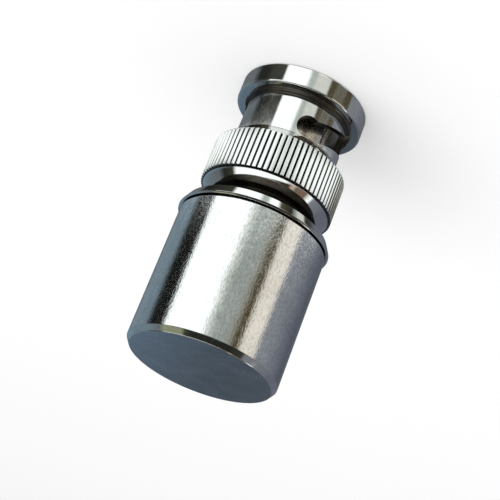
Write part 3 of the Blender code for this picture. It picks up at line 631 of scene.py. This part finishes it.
def make_wave_spring(name, start, material, replaced):
    """Spring strip that rises and falls round the axis."""
    half = WAVE_THICKNESS / 2.0
    model = turned_mesh(flat_ring(WAVE_INNER, WAVE_OUTER, -half, half, CRISP_EASE), SMALL_TURN_STEPS)
    swing = (WAVE_HEIGHT - WAVE_THICKNESS) / 2.0
    for vert in model.verts:
        angle = math.atan2(vert.co.y, vert.co.x)
        vert.co.z += (start + WAVE_HEIGHT / 2.0 + swing * math.cos(WAVE_COUNT * angle)) * MM
    piece = finish_piece(model, name, material, "load", replaced)
    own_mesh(piece)
    return piece


def link(tree, output, target):
    """Join two sockets."""
    tree.links.new(output, target)


def node(tree, kind, **settings):
    """Add a shader node with the given settings."""
    item = tree.nodes.new(kind)
    for key, value in settings.items():
        setattr(item, key, value)
    return item


def maths(tree, operation, first, second=None):
    """Add a Math node; a number is set on its socket and an output is linked to it."""
    item = node(tree, "ShaderNodeMath", operation=operation)
    for index, value in enumerate((first, second)):
        if value is None:
            continue
        if isinstance(value, (int, float)):
            item.inputs[index].default_value = value
        else:
            link(tree, value, item.inputs[index])
    return item.outputs[0]


def mapped(tree, value, low, high, new_low, new_high):
    """Map a value from one range to another, smoothly and clamped."""
    item = node(tree, "ShaderNodeMapRange", interpolation_type="SMOOTHSTEP")
    link(tree, value, item.inputs["Value"])
    for name, number in (("From Min", low), ("From Max", high), ("To Min", new_low), ("To Max", new_high)):
        item.inputs[name].default_value = number
    return item.outputs["Result"]


def window(tree, value, rise, fall, full=1.0):
    """Give `full` between two soft edges, each a (low, high) pair, and 0 outside them."""
    risen = mapped(tree, value, *rise, 0.0, full)
    return maths(tree, "MULTIPLY", risen, mapped(tree, value, *fall, 1.0, 0.0))


def mixed(tree, share, first, second):
    """Mix two colours; each may be a colour or an output."""
    item = node(tree, "ShaderNodeMix", data_type="RGBA")
    for socket, value in ((item.inputs[0], share), (item.inputs[6], first), (item.inputs[7], second)):
        if isinstance(value, (int, float)):
            socket.default_value = value
        elif isinstance(value, tuple):
            socket.default_value = (*value, 1.0)
        else:
            link(tree, value, socket)
    return item.outputs[2]


def split_vector(tree, vector):
    """Return the three parts of a vector."""
    item = node(tree, "ShaderNodeSeparateXYZ")
    link(tree, vector, item.inputs[0])
    return item.outputs


def length_of(tree, vector):
    """Return a vector's length."""
    item = node(tree, "ShaderNodeVectorMath", operation="LENGTH")
    link(tree, vector, item.inputs[0])
    return item.outputs["Value"]


def noise_texture(tree, coordinates, scale, detail=2.0, roughness=0.5):
    """Add a noise texture on the given coordinates."""
    item = node(tree, "ShaderNodeTexNoise")
    link(tree, coordinates, item.inputs["Vector"])
    item.inputs["Scale"].default_value = scale
    item.inputs["Detail"].default_value = detail
    item.inputs["Roughness"].default_value = roughness
    return item


def new_group(name, settings, results):
    """Start a group that takes coordinates and numbers; return it with its given and wanted sockets."""
    tree = bpy.data.node_groups.new(name, "ShaderNodeTree")
    tree.interface.new_socket(name="Coordinates", in_out="INPUT", socket_type="NodeSocketVector")
    for key in settings:
        tree.interface.new_socket(name=key, in_out="INPUT", socket_type="NodeSocketFloat")
    for key in results:
        tree.interface.new_socket(name=key, in_out="OUTPUT", socket_type="NodeSocketFloat")
    return tree, node(tree, "NodeGroupInput").outputs, node(tree, "NodeGroupOutput").inputs


PLATING_SETTINGS = ("Grain Scale", "Grain Share", "Line Share", "Roughness", "Roughness Swing")
GRAIN_STRETCH = (1.0, 1.0, 0.45)


def plating_group():
    """Build the plated-metal group: fine pits, faint clouds and thin turning lines."""
    tree, given, wanted = new_group("plating", PLATING_SETTINGS, ("Height", "Roughness", "Cloud"))
    stretched = node(tree, "ShaderNodeVectorMath", operation="MULTIPLY")
    link(tree, given["Coordinates"], stretched.inputs[0])
    stretched.inputs[1].default_value = GRAIN_STRETCH
    grain = noise_texture(tree, stretched.outputs[0], scale=1.0, detail=2.0, roughness=0.6)
    link(tree, given["Grain Scale"], grain.inputs["Scale"])
    cloud = noise_texture(tree, given["Coordinates"], scale=420.0, detail=3.0, roughness=0.55)
    along = node(tree, "ShaderNodeCombineXYZ")
    link(tree, split_vector(tree, given["Coordinates"])["Z"], along.inputs["Z"])
    lines = noise_texture(tree, along.outputs[0], scale=9000.0, detail=3.0, roughness=0.7)
    grain_part = maths(tree, "MULTIPLY", grain.outputs["Fac"], given["Grain Share"])
    line_part = maths(tree, "MULTIPLY", lines.outputs["Fac"], given["Line Share"])
    rough = given["Roughness"]
    for texture in (cloud, grain):
        offset = maths(tree, "SUBTRACT", texture.outputs["Fac"], 0.5)
        rough = maths(tree, "ADD", rough, maths(tree, "MULTIPLY", offset, given["Roughness Swing"]))
    link(tree, maths(tree, "ADD", grain_part, line_part), wanted["Height"])
    link(tree, rough, wanted["Roughness"])
    link(tree, cloud.outputs["Fac"], wanted["Cloud"])
    return tree


# Where painted shade darkens the knurl, its grooves and rear edge, in millimetres and in shares of the pitch
GROOVE_FLOOR = (7.06, 7.12)
GROOVE_FLOOR_SHARE = 0.75
GROOVE_WALL_RADII = (7.24, 7.30)
GROOVE_WALL_RISE = (0.59, 0.65)
GROOVE_WALL_FALL = (0.83, 0.88)
GROOVES_START = (8.38, 8.52)
GROOVES_END = (13.26, 13.30)
REAR_EDGE_START = (13.10, 13.14)


def in_metres(pair):
    """Change two lengths from millimetres to metres."""
    return tuple(length * MM for length in pair)


def groove_shade_group():
    """Build the painted groove shade: up to 1 in the knurl's grooves and on its rear edge, 0 elsewhere."""
    tree, given, wanted = new_group("knurl_grooves", (), ("Depth",))
    x, y, height = split_vector(tree, given["Coordinates"])
    flat = node(tree, "ShaderNodeCombineXYZ")
    link(tree, x, flat.inputs["X"])
    link(tree, y, flat.inputs["Y"])
    radius = length_of(tree, flat.outputs[0])
    floor = mapped(tree, radius, *in_metres(GROOVE_FLOOR), GROOVE_FLOOR_SHARE, 0.0)
    round_angle = maths(tree, "ARCTAN2", y, x)
    share = maths(tree, "FRACT", maths(tree, "MULTIPLY", round_angle, RIDGE_COUNT / math.tau))
    wall = window(tree, share, GROOVE_WALL_RISE, GROOVE_WALL_FALL)
    sunk = mapped(tree, radius, *in_metres(GROOVE_WALL_RADII), 1.0, 0.0)
    groove = maths(tree, "MAXIMUM", floor, maths(tree, "MULTIPLY", wall, sunk))
    edge = mapped(tree, height, *in_metres(REAR_EDGE_START), 0.0, 1.0)
    band = window(tree, height, in_metres(GROOVES_START), in_metres(GROOVES_END))
    link(tree, maths(tree, "MULTIPLY", maths(tree, "MAXIMUM", groove, edge), band), wanted["Depth"])
    return tree


def new_material(name):
    """Start a material and return it with its tree, shader and object coordinates."""
    material = bpy.data.materials.new(name)
    material.use_nodes = True
    tree = material.node_tree
    shader = tree.nodes["Principled BSDF"]
    place = node(tree, "ShaderNodeTexCoord")
    return material, tree, shader, place.outputs["Object"]


def add_bump(tree, shader, height, distance):
    """Raise a surface by a height that runs from 0 to 1, up to a distance in metres."""
    bump = node(tree, "ShaderNodeBump")
    bump.inputs["Strength"].default_value = 1.0
    bump.inputs["Distance"].default_value = distance
    link(tree, height, bump.inputs["Height"])
    link(tree, bump.outputs["Normal"], shader.inputs["Normal"])


# The nickel's dark speckle: colour and the grain heights over which it fades
PIT_COLOUR = (0.10, 0.10, 0.095)
PIT_HEIGHTS = (0.28, 0.62)
# Painted shade for the knurl's grooves and rear edge
GROOVE_SHADE_COLOUR = (0.045, 0.045, 0.045)
CLOUD_RANGE = (0.3, 0.7)


def plated_material(name, group, clean, dull, scale, grain, lines, roughness, swing, bump, speckle=0.0,
                    grooves=None):
    """Make a plated or bare metal from the plating group; the bump is in metres."""
    material, tree, shader, place = new_material(name)
    shader.inputs["Metallic"].default_value = 1.0
    plate = node(tree, "ShaderNodeGroup", node_tree=group)
    link(tree, place, plate.inputs["Coordinates"])
    for key, value in zip(PLATING_SETTINGS, (scale, grain, lines, roughness, swing)):
        plate.inputs[key].default_value = value
    tint = mapped(tree, plate.outputs["Cloud"], *CLOUD_RANGE, 0.0, 1.0)
    colour = mixed(tree, tint, dull, clean)
    if speckle:
        pits = mapped(tree, plate.outputs["Height"], *PIT_HEIGHTS, speckle, 0.0)
        colour = mixed(tree, pits, colour, PIT_COLOUR)
    # Painted shade: darken the knurl's grooves and rear edge
    if grooves is not None:
        below = node(tree, "ShaderNodeGroup", node_tree=grooves)
        link(tree, place, below.inputs["Coordinates"])
        colour = mixed(tree, below.outputs["Depth"], colour, GROOVE_SHADE_COLOUR)
    link(tree, colour, shader.inputs["Base Color"])
    link(tree, plate.outputs["Roughness"], shader.inputs["Roughness"])
    add_bump(tree, shader, plate.outputs["Height"], bump)
    return material


# How the moulded grain shows in colour and roughness
MOULDED_COLOUR_RANGE = (0.35, 0.65)
MOULDED_ROUGHNESS_RANGE = (0.3, 0.7)
MOULDED_ROUGHNESS_SWING = 0.06
SUBSURFACE_REACH = (0.0006, 0.0006, 0.0005)


def plain_material(name, colour, darker, roughness, scale, bump, subsurface=0.0):
    """Make a plastic, rubber or ceramic with a moulded grain; the bump is in metres."""
    material, tree, shader, place = new_material(name)
    grain = noise_texture(tree, place, scale, detail=4.0, roughness=0.6).outputs["Fac"]
    share = mapped(tree, grain, *MOULDED_COLOUR_RANGE, 0.0, 1.0)
    link(tree, mixed(tree, share, darker, colour), shader.inputs["Base Color"])
    rough = mapped(tree, grain, *MOULDED_ROUGHNESS_RANGE,
                   roughness - MOULDED_ROUGHNESS_SWING, roughness + MOULDED_ROUGHNESS_SWING)
    link(tree, rough, shader.inputs["Roughness"])
    shader.inputs["Subsurface Weight"].default_value = subsurface
    shader.inputs["Subsurface Radius"].default_value = SUBSURFACE_REACH
    add_bump(tree, shader, grain, bump)
    return material


BRIGHT_NICKEL = dict(
    clean=(0.70, 0.70, 0.69), dull=(0.62, 0.62, 0.60), scale=4200.0, grain=0.5, lines=0.2,
    roughness=0.06, swing=0.05, bump=0.0000015, speckle=0.18,
)
METALS = {
    "bright_nickel": BRIGHT_NICKEL,
    "knurled_nickel": BRIGHT_NICKEL,
    # Painted shade: a dark brown-olive nickel for faces in gaps and recesses; its brown tint is a painted
    # reflection
    "painted_shade_nickel": dict(
        clean=(0.10, 0.092, 0.075), dull=(0.06, 0.045, 0.036), scale=4200.0, grain=0.5,
        lines=0.4, roughness=0.34, swing=0.12, bump=0.000014,
    ),
    "satin_nickel": dict(
        clean=(0.70, 0.71, 0.71), dull=(0.62, 0.63, 0.62), scale=6000.0, grain=1.0,
        lines=0.05, roughness=0.11, swing=0.10, bump=0.000011, speckle=0.30,
    ),
    "faced_nickel": dict(
        clean=(0.62, 0.64, 0.66), dull=(0.56, 0.58, 0.60), scale=6500.0, grain=0.6,
        lines=0.0, roughness=0.24, swing=0.10, bump=0.000008,
    ),
    "contact_bronze": dict(
        clean=(0.60, 0.54, 0.47), dull=(0.48, 0.43, 0.37), scale=3800.0, grain=0.5,
        lines=0.5, roughness=0.26, swing=0.15, bump=0.000012,
    ),
    "spring_steel": dict(
        clean=(0.50, 0.50, 0.51), dull=(0.40, 0.40, 0.40), scale=3500.0, grain=0.4,
        lines=0.3, roughness=0.30, swing=0.15, bump=0.000008,
    ),
    "gold_plate": dict(
        clean=(0.90, 0.66, 0.30), dull=(0.80, 0.56, 0.24), scale=4200.0, grain=0.4,
        lines=0.3, roughness=0.20, swing=0.10, bump=0.000006,
    ),
    "brass": dict(
        clean=(0.76, 0.58, 0.30), dull=(0.62, 0.46, 0.22), scale=3200.0, grain=0.4,
        lines=0.6, roughness=0.28, swing=0.15, bump=0.000010,
    ),
}
MOULDED = {
    "white_plastic": dict(
        colour=(0.86, 0.86, 0.83), darker=(0.80, 0.80, 0.76), roughness=0.42, scale=1600.0, bump=0.000006,
        subsurface=0.2,
    ),
    "grey_rubber": dict(
        colour=(0.10, 0.105, 0.11), darker=(0.07, 0.075, 0.08), roughness=0.62, scale=3000.0, bump=0.000012,
    ),
    "black_rubber": dict(
        colour=(0.016, 0.016, 0.017), darker=(0.009, 0.009, 0.010), roughness=0.55, scale=3000.0,
        bump=0.000010,
    ),
    "ceramic": dict(
        colour=(0.40, 0.27, 0.19), darker=(0.32, 0.21, 0.15), roughness=0.55, scale=2400.0, bump=0.000008,
    ),
}


def make_materials():
    """Return every material of the load, by name."""
    plate = plating_group()
    grooves = {"knurled_nickel": groove_shade_group()}
    materials = {}
    for name, finish in METALS.items():
        materials[name] = plated_material(name, plate, **finish, grooves=grooves.get(name))
    for name, finish in MOULDED.items():
        materials[name] = plain_material(name, **finish)
    return materials


NODE_FINISH = {
    "thrust_washer": "brass",
    "rear_insulator": "white_plastic",
    "insulator_retainer": "brass",
    "insulating_washer": "white_plastic",
    "resistor_rod": "ceramic",
    "resistor_front_cap": "gold_plate",
    "resistor_rear_cap": "gold_plate",
    "taper_sleeve": "brass",
    "contact_spring": "spring_steel",
}


def finish_cad_nodes(materials):
    """Give the inner pieces that keep their CAD shape a finish."""
    for name, finish in NODE_FINISH.items():
        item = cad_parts[name]
        for holder in item.material_slots:
            holder.material = materials[finish]


# Studio tones, in linear light
SLATE = (0.24, 0.32, 0.38)
DIM_SLATE = (0.19, 0.22, 0.24)
BLUE_SLATE = (0.22, 0.33, 0.43)
BLACK = (0.014, 0.016, 0.014)
SOOT = (0.03, 0.032, 0.027)
DARK_OLIVE = (0.065, 0.066, 0.052)
DARK_BROWN = (0.066, 0.038, 0.027)
UMBER = (0.095, 0.07, 0.026)
OLIVE = (0.12, 0.10, 0.06)
OLIVE_YELLOW = (0.40, 0.43, 0.29)
STONE = (0.21, 0.20, 0.16)
COPPER = (0.30, 0.20, 0.145)
ROSE = (0.80, 0.62, 0.50)
BEIGE = (1.12, 1.04, 0.92)
PALE_GREY = (0.45, 0.495, 0.465)
WARM_GREY = (0.42, 0.41, 0.35)
SOFT_WHITE = (0.68, 0.74, 0.69)
PALE = (1.0, 1.04, 0.96)
MID_GREY = (0.31, 0.33, 0.37)
DUSK = (0.19, 0.205, 0.26)
DEEP_DUSK = (0.115, 0.13, 0.16)
BRIGHT = (1.75, 1.85, 1.85)
CREST = (1.30, 1.38, 1.35)
LIMB = (0.13, 0.15, 0.17)
SKY = (0.30, 0.33, 0.36)

# What a vertical wall sees, as (degrees round from the camera towards the object's +X side, tone)
UPRIGHT_BANDS = (
    (-90, DEEP_DUSK), (-72, DEEP_DUSK), (-60, DUSK), (-45, MID_GREY), (-36, MID_GREY), (-34, BEIGE),
    (-22, BEIGE), (-20, UMBER), (-16, UMBER), (-13, WARM_GREY), (-8, PALE_GREY), (1, PALE_GREY),
    (6, PALE), (10, BRIGHT),
    (37, BRIGHT), (38.5, BLACK), (52, BLACK), (57, SLATE), (90, SLATE),
)
# What the knurl sees, a little lower
KNURL_BANDS = (
    (-90, SOOT), (-66, OLIVE), (-59, STONE), (-56, PALE), (-50, BRIGHT), (-14, BRIGHT), (-10, CREST),
    (6, CREST), (10, BRIGHT), (60, BRIGHT), (80, CREST), (90, CREST),
)
# What the nut's flange and barrel see, lower still
LOW_BANDS = (
    (-90, DUSK), (-66, DUSK), (-50, MID_GREY), (-40, MID_GREY), (-38, OLIVE), (-33, OLIVE), (-31, STONE),
    (-22, STONE), (-20, OLIVE), (-16, OLIVE), (-14, PALE), (-4, PALE), (-1, SOFT_WHITE), (2, SOFT_WHITE),
    (5, BRIGHT), (24, BRIGHT), (26, DARK_OLIVE), (38, DARK_OLIVE), (41, SOOT), (50, SOOT), (57, DIM_SLATE),
    (90, DIM_SLATE),
)
# What the shoulder in front of the knurl sees
SHOULDER_BANDS = (
    (-90, STONE), (-60, STONE), (-45, DARK_OLIVE), (-24, OLIVE), (-18, PALE_GREY), (-14, BRIGHT),
    (-4, BRIGHT), (-1, SOFT_WHITE), (2, SOFT_WHITE), (5, BRIGHT), (24, BRIGHT), (28, OLIVE), (40, SOOT),
    (62, SOOT), (70, DIM_SLATE), (76, PALE_GREY), (90, PALE_GREY),
)
# What faces that lean forward see, such as the collar's slope
UNDERCUT_BANDS = (
    (-90, SOOT), (-60, DUSK), (-45, DUSK), (-39, DARK_OLIVE), (-34, DARK_OLIVE), (-32, PALE), (-27, PALE),
    (-24, PALE_GREY), (-21, SOOT), (-12, OLIVE), (-9, BRIGHT), (-4, BRIGHT), (-1, SOFT_WHITE),
    (2, SOFT_WHITE), (5, BRIGHT), (23, BRIGHT), (26, DARK_OLIVE), (50, BLACK), (57, DIM_SLATE),
    (90, DIM_SLATE),
)
# What the hollow behind the nut's flange sees
HOLLOW_BANDS = (
    (-90, DUSK), (-60, DUSK), (-45, OLIVE), (-30, DARK_OLIVE), (-12, BLACK), (14, BLACK), (24, DARK_OLIVE),
    (42, DARK_OLIVE), (50, DIM_SLATE), (62, SLATE), (90, BLUE_SLATE),
)
# What the end chamfer and the collar's edge see
CHAMFER_BANDS = (
    (-90, DEEP_DUSK), (-66, DUSK), (-45, MID_GREY), (-29, MID_GREY), (-26, DARK_OLIVE), (-14, SOOT),
    (14, SOOT), (20, DARK_OLIVE), (23, OLIVE_YELLOW), (38, OLIVE_YELLOW), (42, DIM_SLATE), (52, SLATE),
    (90, BLUE_SLATE),
)
# A bright strip above it
STRIP_BANDS = (
    (-90, DUSK), (-60, MID_GREY), (-43, MID_GREY), (-40, BRIGHT), (-30, BRIGHT), (-26, PALE), (-14, PALE),
    (-10, BRIGHT), (36, BRIGHT), (40, DARK_OLIVE), (50, SOOT), (57, DIM_SLATE), (90, SLATE),
)
# What the nut's rear taper sees
TAPER_BANDS = (
    (-90, DUSK), (-60, DUSK), (-41, MID_GREY), (-38, BRIGHT), (-34, PALE), (-32, COPPER), (-25, COPPER),
    (-21, STONE), (-19, ROSE), (-17, ROSE), (-14, DARK_BROWN), (-8, DARK_BROWN), (-3, OLIVE), (14, OLIVE),
    (24, STONE), (38, DARK_OLIVE), (44, SOOT), (52, SOOT), (58, DIM_SLATE), (90, SLATE),
)
# What the faced end sees, as (sideways part of the reflected direction, tone)
END_FACE_TONES = (
    (-0.10, (0.14, 0.165, 0.195)), (-0.05, (0.11, 0.135, 0.165)), (-0.01, (0.06, 0.078, 0.10)),
    (0.02, (0.10, 0.14, 0.18)), (0.05, (0.18, 0.26, 0.35)), (0.10, (0.24, 0.34, 0.47)),
)
# Each set of bands with its measure and where it starts and has taken over on that measure
BAND_TIERS = (
    ("tilt", -20.0, -18.0, SHOULDER_BANDS),
    ("tilt", -13.0, -9.0, LOW_BANDS),
    ("rise", -0.0785, -0.0765, KNURL_BANDS),
    ("rise", -0.0525, -0.0505, UPRIGHT_BANDS),
    ("tilt", 23.5, 26.5, HOLLOW_BANDS),
    ("tilt", 31.0, 33.0, CHAMFER_BANDS),
    ("tilt", 38.5, 39.5, STRIP_BANDS),
    ("slanted tilt", 41.8, 43.2, TAPER_BANDS),
)
TAPER_SLANT = 0.15            # degrees of tilt for each degree round
SIDE_FALL = 0.018             # how much further down the same height is seen at the object's sides
RAMP_DEGREES = 180.0          # that a ramp of bands runs over

# The faced end's tones, and how they darken where the reflection is low
END_FACE_TILT = (68.0, 74.0)
END_FACE_SPREAD = 5.0
END_FACE_LOW = (0.285, 0.335)
END_FACE_LOW_SHARE = 0.65
END_FACE_LOW_TONE = (0.06, 0.062, 0.068)
# A grey card a little above the horizon, by the direction's upward part and by tilt
SKY_SHARE = 0.85
SKY_HEIGHT_RISE = (0.10, 0.18)
SKY_HEIGHT_FALL = (0.33, 0.37)
SKY_TILT_RISE = (10.0, 14.0)
SKY_TILT_FALL = (27.0, 30.0)
# The dark behind the object, which its outline mirrors
LIMB_WIDTH = (0.20, 0.55)
# What lights the surfaces that don't mirror
SOFT_LIGHT = (0.75, 0.75, 0.75)


def ramp_of(tree, share, stops):
    """Add a colour ramp with (place, tone) stops."""
    ramp = node(tree, "ShaderNodeValToRGB")
    link(tree, share, ramp.inputs["Fac"])
    elements = ramp.color_ramp.elements
    elements.remove(elements[1])
    for index, (place, tone) in enumerate(stops):
        element = elements[0] if index == 0 else elements.new(place)
        element.position = place
        element.color = (*tone, 1.0)
    return ramp.outputs["Color"]


def band_ramp(tree, share, bands):
    """Lay soft cards of the given tones round the camera's direction."""
    return ramp_of(tree, share, [(0.5 + degrees / RAMP_DEGREES, tone) for degrees, tone in bands])


def metal_cards(tree, direction):
    """Return the tones that the metal mirrors, by the way a mirroring surface has to face."""
    lean = math.radians(VIEW_ELEVATION)
    towards = node(tree, "ShaderNodeVectorMath", operation="ADD")
    link(tree, direction, towards.inputs[0])
    towards.inputs[1].default_value = (0.0, -math.cos(lean), math.sin(lean))
    facing = node(tree, "ShaderNodeVectorMath", operation="NORMALIZE")
    link(tree, towards.outputs[0], facing.inputs[0])
    face_x, face_y, face_z = split_vector(tree, facing.outputs[0])
    round_angle = maths(tree, "ARCTAN2", face_x, maths(tree, "ABSOLUTE", face_y))
    centred = maths(tree, "DIVIDE", round_angle, math.pi)
    share = maths(tree, "ADD", centred, 0.5)
    tilt = maths(tree, "MULTIPLY", maths(tree, "ARCSINE", face_z), math.degrees(1.0))
    side_fall = maths(tree, "MULTIPLY", maths(tree, "ADD", face_y, 1.0), SIDE_FALL)
    rise = maths(tree, "SUBTRACT", split_vector(tree, towards.outputs[0])["Z"], side_fall)
    slant = maths(tree, "MULTIPLY", maths(tree, "SUBTRACT", share, 0.5), RAMP_DEGREES * TAPER_SLANT)
    measures = {"tilt": tilt, "rise": rise, "slanted tilt": maths(tree, "SUBTRACT", tilt, slant)}
    cards = band_ramp(tree, share, UNDERCUT_BANDS)
    for measure, start, full, bands in BAND_TIERS:
        taken = mapped(tree, measures[measure], start, full, 0.0, 1.0)
        cards = mixed(tree, taken, cards, band_ramp(tree, share, bands))
    aim = split_vector(tree, direction)
    raised = window(tree, aim["Z"], SKY_HEIGHT_RISE, SKY_HEIGHT_FALL, SKY_SHARE)
    upright = window(tree, tilt, SKY_TILT_RISE, SKY_TILT_FALL)
    cards = mixed(tree, maths(tree, "MULTIPLY", raised, upright), cards, SKY)
    across = maths(tree, "ADD", maths(tree, "MULTIPLY", aim["X"], END_FACE_SPREAD), 0.5)
    above = ramp_of(tree, across, [(0.5 + END_FACE_SPREAD * place, tone) for place, tone in END_FACE_TONES])
    low = mapped(tree, aim["Z"], *END_FACE_LOW, END_FACE_LOW_SHARE, 0.0)
    above = mixed(tree, low, above, END_FACE_LOW_TONE)
    cards = mixed(tree, mapped(tree, tilt, *END_FACE_TILT, 0.0, 1.0), cards, above)
    width = length_of(tree, towards.outputs[0])
    return mixed(tree, mapped(tree, width, *LIMB_WIDTH, 1.0, 0.0), cards, LIMB)


def mirrored_share(tree, ray):
    """Return 1 for rays that come from a mirroring or a clear surface and 0 for others."""
    return maths(tree, "MAXIMUM", ray.outputs["Is Glossy Ray"], ray.outputs["Is Transmission Ray"])


def make_world():
    """Studio surroundings: white to the eye, soft and even on the floor, banded in the metal."""
    world = bpy.data.worlds.new("studio")
    bpy.context.scene.world = world
    world.use_nodes = True
    world.cycles.sampling_method = "NONE"
    tree = world.node_tree
    background = tree.nodes["Background"]
    place = node(tree, "ShaderNodeTexCoord")
    cards = metal_cards(tree, place.outputs["Generated"])
    ray = node(tree, "ShaderNodeLightPath")
    soft = mixed(tree, mirrored_share(tree, ray), SOFT_LIGHT, cards)
    link(tree, mixed(tree, ray.outputs["Is Camera Ray"], soft, (1.0, 1.0, 1.0)), background.inputs["Color"])
    background.inputs["Strength"].default_value = 1.0


# Floor and lamp, in metres
FLOOR_HALF_WIDTH = 1.5
FLOOR_DROP = 0.00003
FLOOR_GLOW = 0.16             # to the camera only
LAMP_PLACE = (0.12, -0.10, 0.36)
LAMP_AIM = (0.0, 0.0, 0.015)
LAMP_WIDTH = 0.25
LAMP_WATTS = 0.36


def make_floor():
    """Pale floor that keeps the object's soft shadow and stays out of the metal."""
    model = bmesh.new()
    bmesh.ops.create_grid(model, x_segments=2, y_segments=2, size=FLOOR_HALF_WIDTH)
    mesh = bpy.data.meshes.new("floor")
    model.to_mesh(mesh)
    model.free()
    floor = bpy.data.objects.new("floor", mesh)
    floor.location.z = -FLOOR_DROP
    bpy.context.scene.collection.objects.link(floor)
    material = bpy.data.materials.new("pale_floor")
    material.use_nodes = True
    tree = material.node_tree
    shader = tree.nodes["Principled BSDF"]
    place = node(tree, "ShaderNodeTexCoord")
    paper = noise_texture(tree, place.outputs["Object"], scale=900.0, detail=3.0)
    link(tree, mixed(tree, paper.outputs["Fac"], (0.93, 0.93, 0.93), (0.95, 0.95, 0.95)),
         shader.inputs["Base Color"])
    shader.inputs["Roughness"].default_value = 0.9
    shader.inputs["Specular IOR Level"].default_value = 0.1
    ray = node(tree, "ShaderNodeLightPath")
    shader.inputs["Emission Color"].default_value = (1.0, 1.0, 1.0, 1.0)
    glow = maths(tree, "MULTIPLY", ray.outputs["Is Camera Ray"], FLOOR_GLOW)
    link(tree, glow, shader.inputs["Emission Strength"])
    clear = node(tree, "ShaderNodeBsdfTransparent")
    back = node(tree, "ShaderNodeNewGeometry")
    through = maths(tree, "MAXIMUM", mirrored_share(tree, ray), back.outputs["Backfacing"])
    blend = node(tree, "ShaderNodeMixShader")
    link(tree, through, blend.inputs[0])
    link(tree, shader.outputs[0], blend.inputs[1])
    link(tree, clear.outputs[0], blend.inputs[2])
    link(tree, blend.outputs[0], tree.nodes["Material Output"].inputs["Surface"])
    mesh.materials.append(material)


def make_lamp():
    """One large soft lamp above, for a gentle shadow."""
    data = bpy.data.lights.new("soft_lamp", "AREA")
    data.shape = "DISK"
    data.size = LAMP_WIDTH
    data.energy = LAMP_WATTS
    lamp = bpy.data.objects.new("soft_lamp", data)
    lamp.location = LAMP_PLACE
    towards = Vector(LAMP_AIM) - Vector(lamp.location)
    lamp.rotation_euler = towards.to_track_quat("-Z", "Y").to_euler()
    lamp.visible_glossy = False
    bpy.context.scene.collection.objects.link(lamp)


def make_camera():
    """The photograph's view: from above the end cap, rolled so that the plug is at the top."""
    data = bpy.data.cameras.new("camera")
    data.lens = VIEW_LENS
    data.sensor_width = 36.0
    data.clip_start = 0.005
    data.clip_end = 10.0
    camera = bpy.data.objects.new("camera", data)
    bpy.context.scene.collection.objects.link(camera)
    turn = Matrix.Rotation(math.radians(90.0 - VIEW_ELEVATION), 3, "X")
    turn = turn @ Matrix.Rotation(math.radians(VIEW_ROLL), 3, "Z")
    offset = turn @ Vector((VIEW_SIDE_STEP, VIEW_UP_STEP, VIEW_DISTANCE))
    place = (Vector((0.0, 0.0, VIEW_TARGET_HEIGHT)) + offset) * MM
    camera.matrix_world = Matrix.Translation(place) @ turn.to_4x4()
    bpy.context.scene.camera = camera


def main():
    """Dress the load and set up the studio."""
    make_camera()
    materials = make_materials()
    make_nut(materials["knurled_nickel"], materials["painted_shade_nickel"])
    make_collar(materials["bright_nickel"], materials["painted_shade_nickel"])
    make_housing(materials["satin_nickel"], materials["faced_nickel"], materials["bright_nickel"])
    # Painted shade: the whole neck gets the dark nickel, for the gap behind the nut
    make_neck(materials["painted_shade_nickel"])
    make_contact(materials["contact_bronze"])
    make_insulator(materials["white_plastic"])
    make_pin(materials["gold_plate"])
    turned_piece("sealing_gasket", flat_ring(GASKET_INNER, WAVE_OUTER, GASKET_FRONT, GASKET_REAR, EDGE_EASE),
                 materials["grey_rubber"], "load", "front_gasket", SMALL_TURN_STEPS)
    make_seal(materials["black_rubber"])
    make_snap_ring(materials["spring_steel"])
    make_wave_spring("front_wave", FRONT_WAVE_START, materials["spring_steel"], "wave_spring_front")
    make_wave_spring("rear_wave", REAR_WAVE_START, materials["spring_steel"], "wave_spring_rear")
    finish_cad_nodes(materials)
    make_world()
    make_floor()
    make_lamp()
    bpy.context.scene.view_settings.view_transform = "Standard"


main()
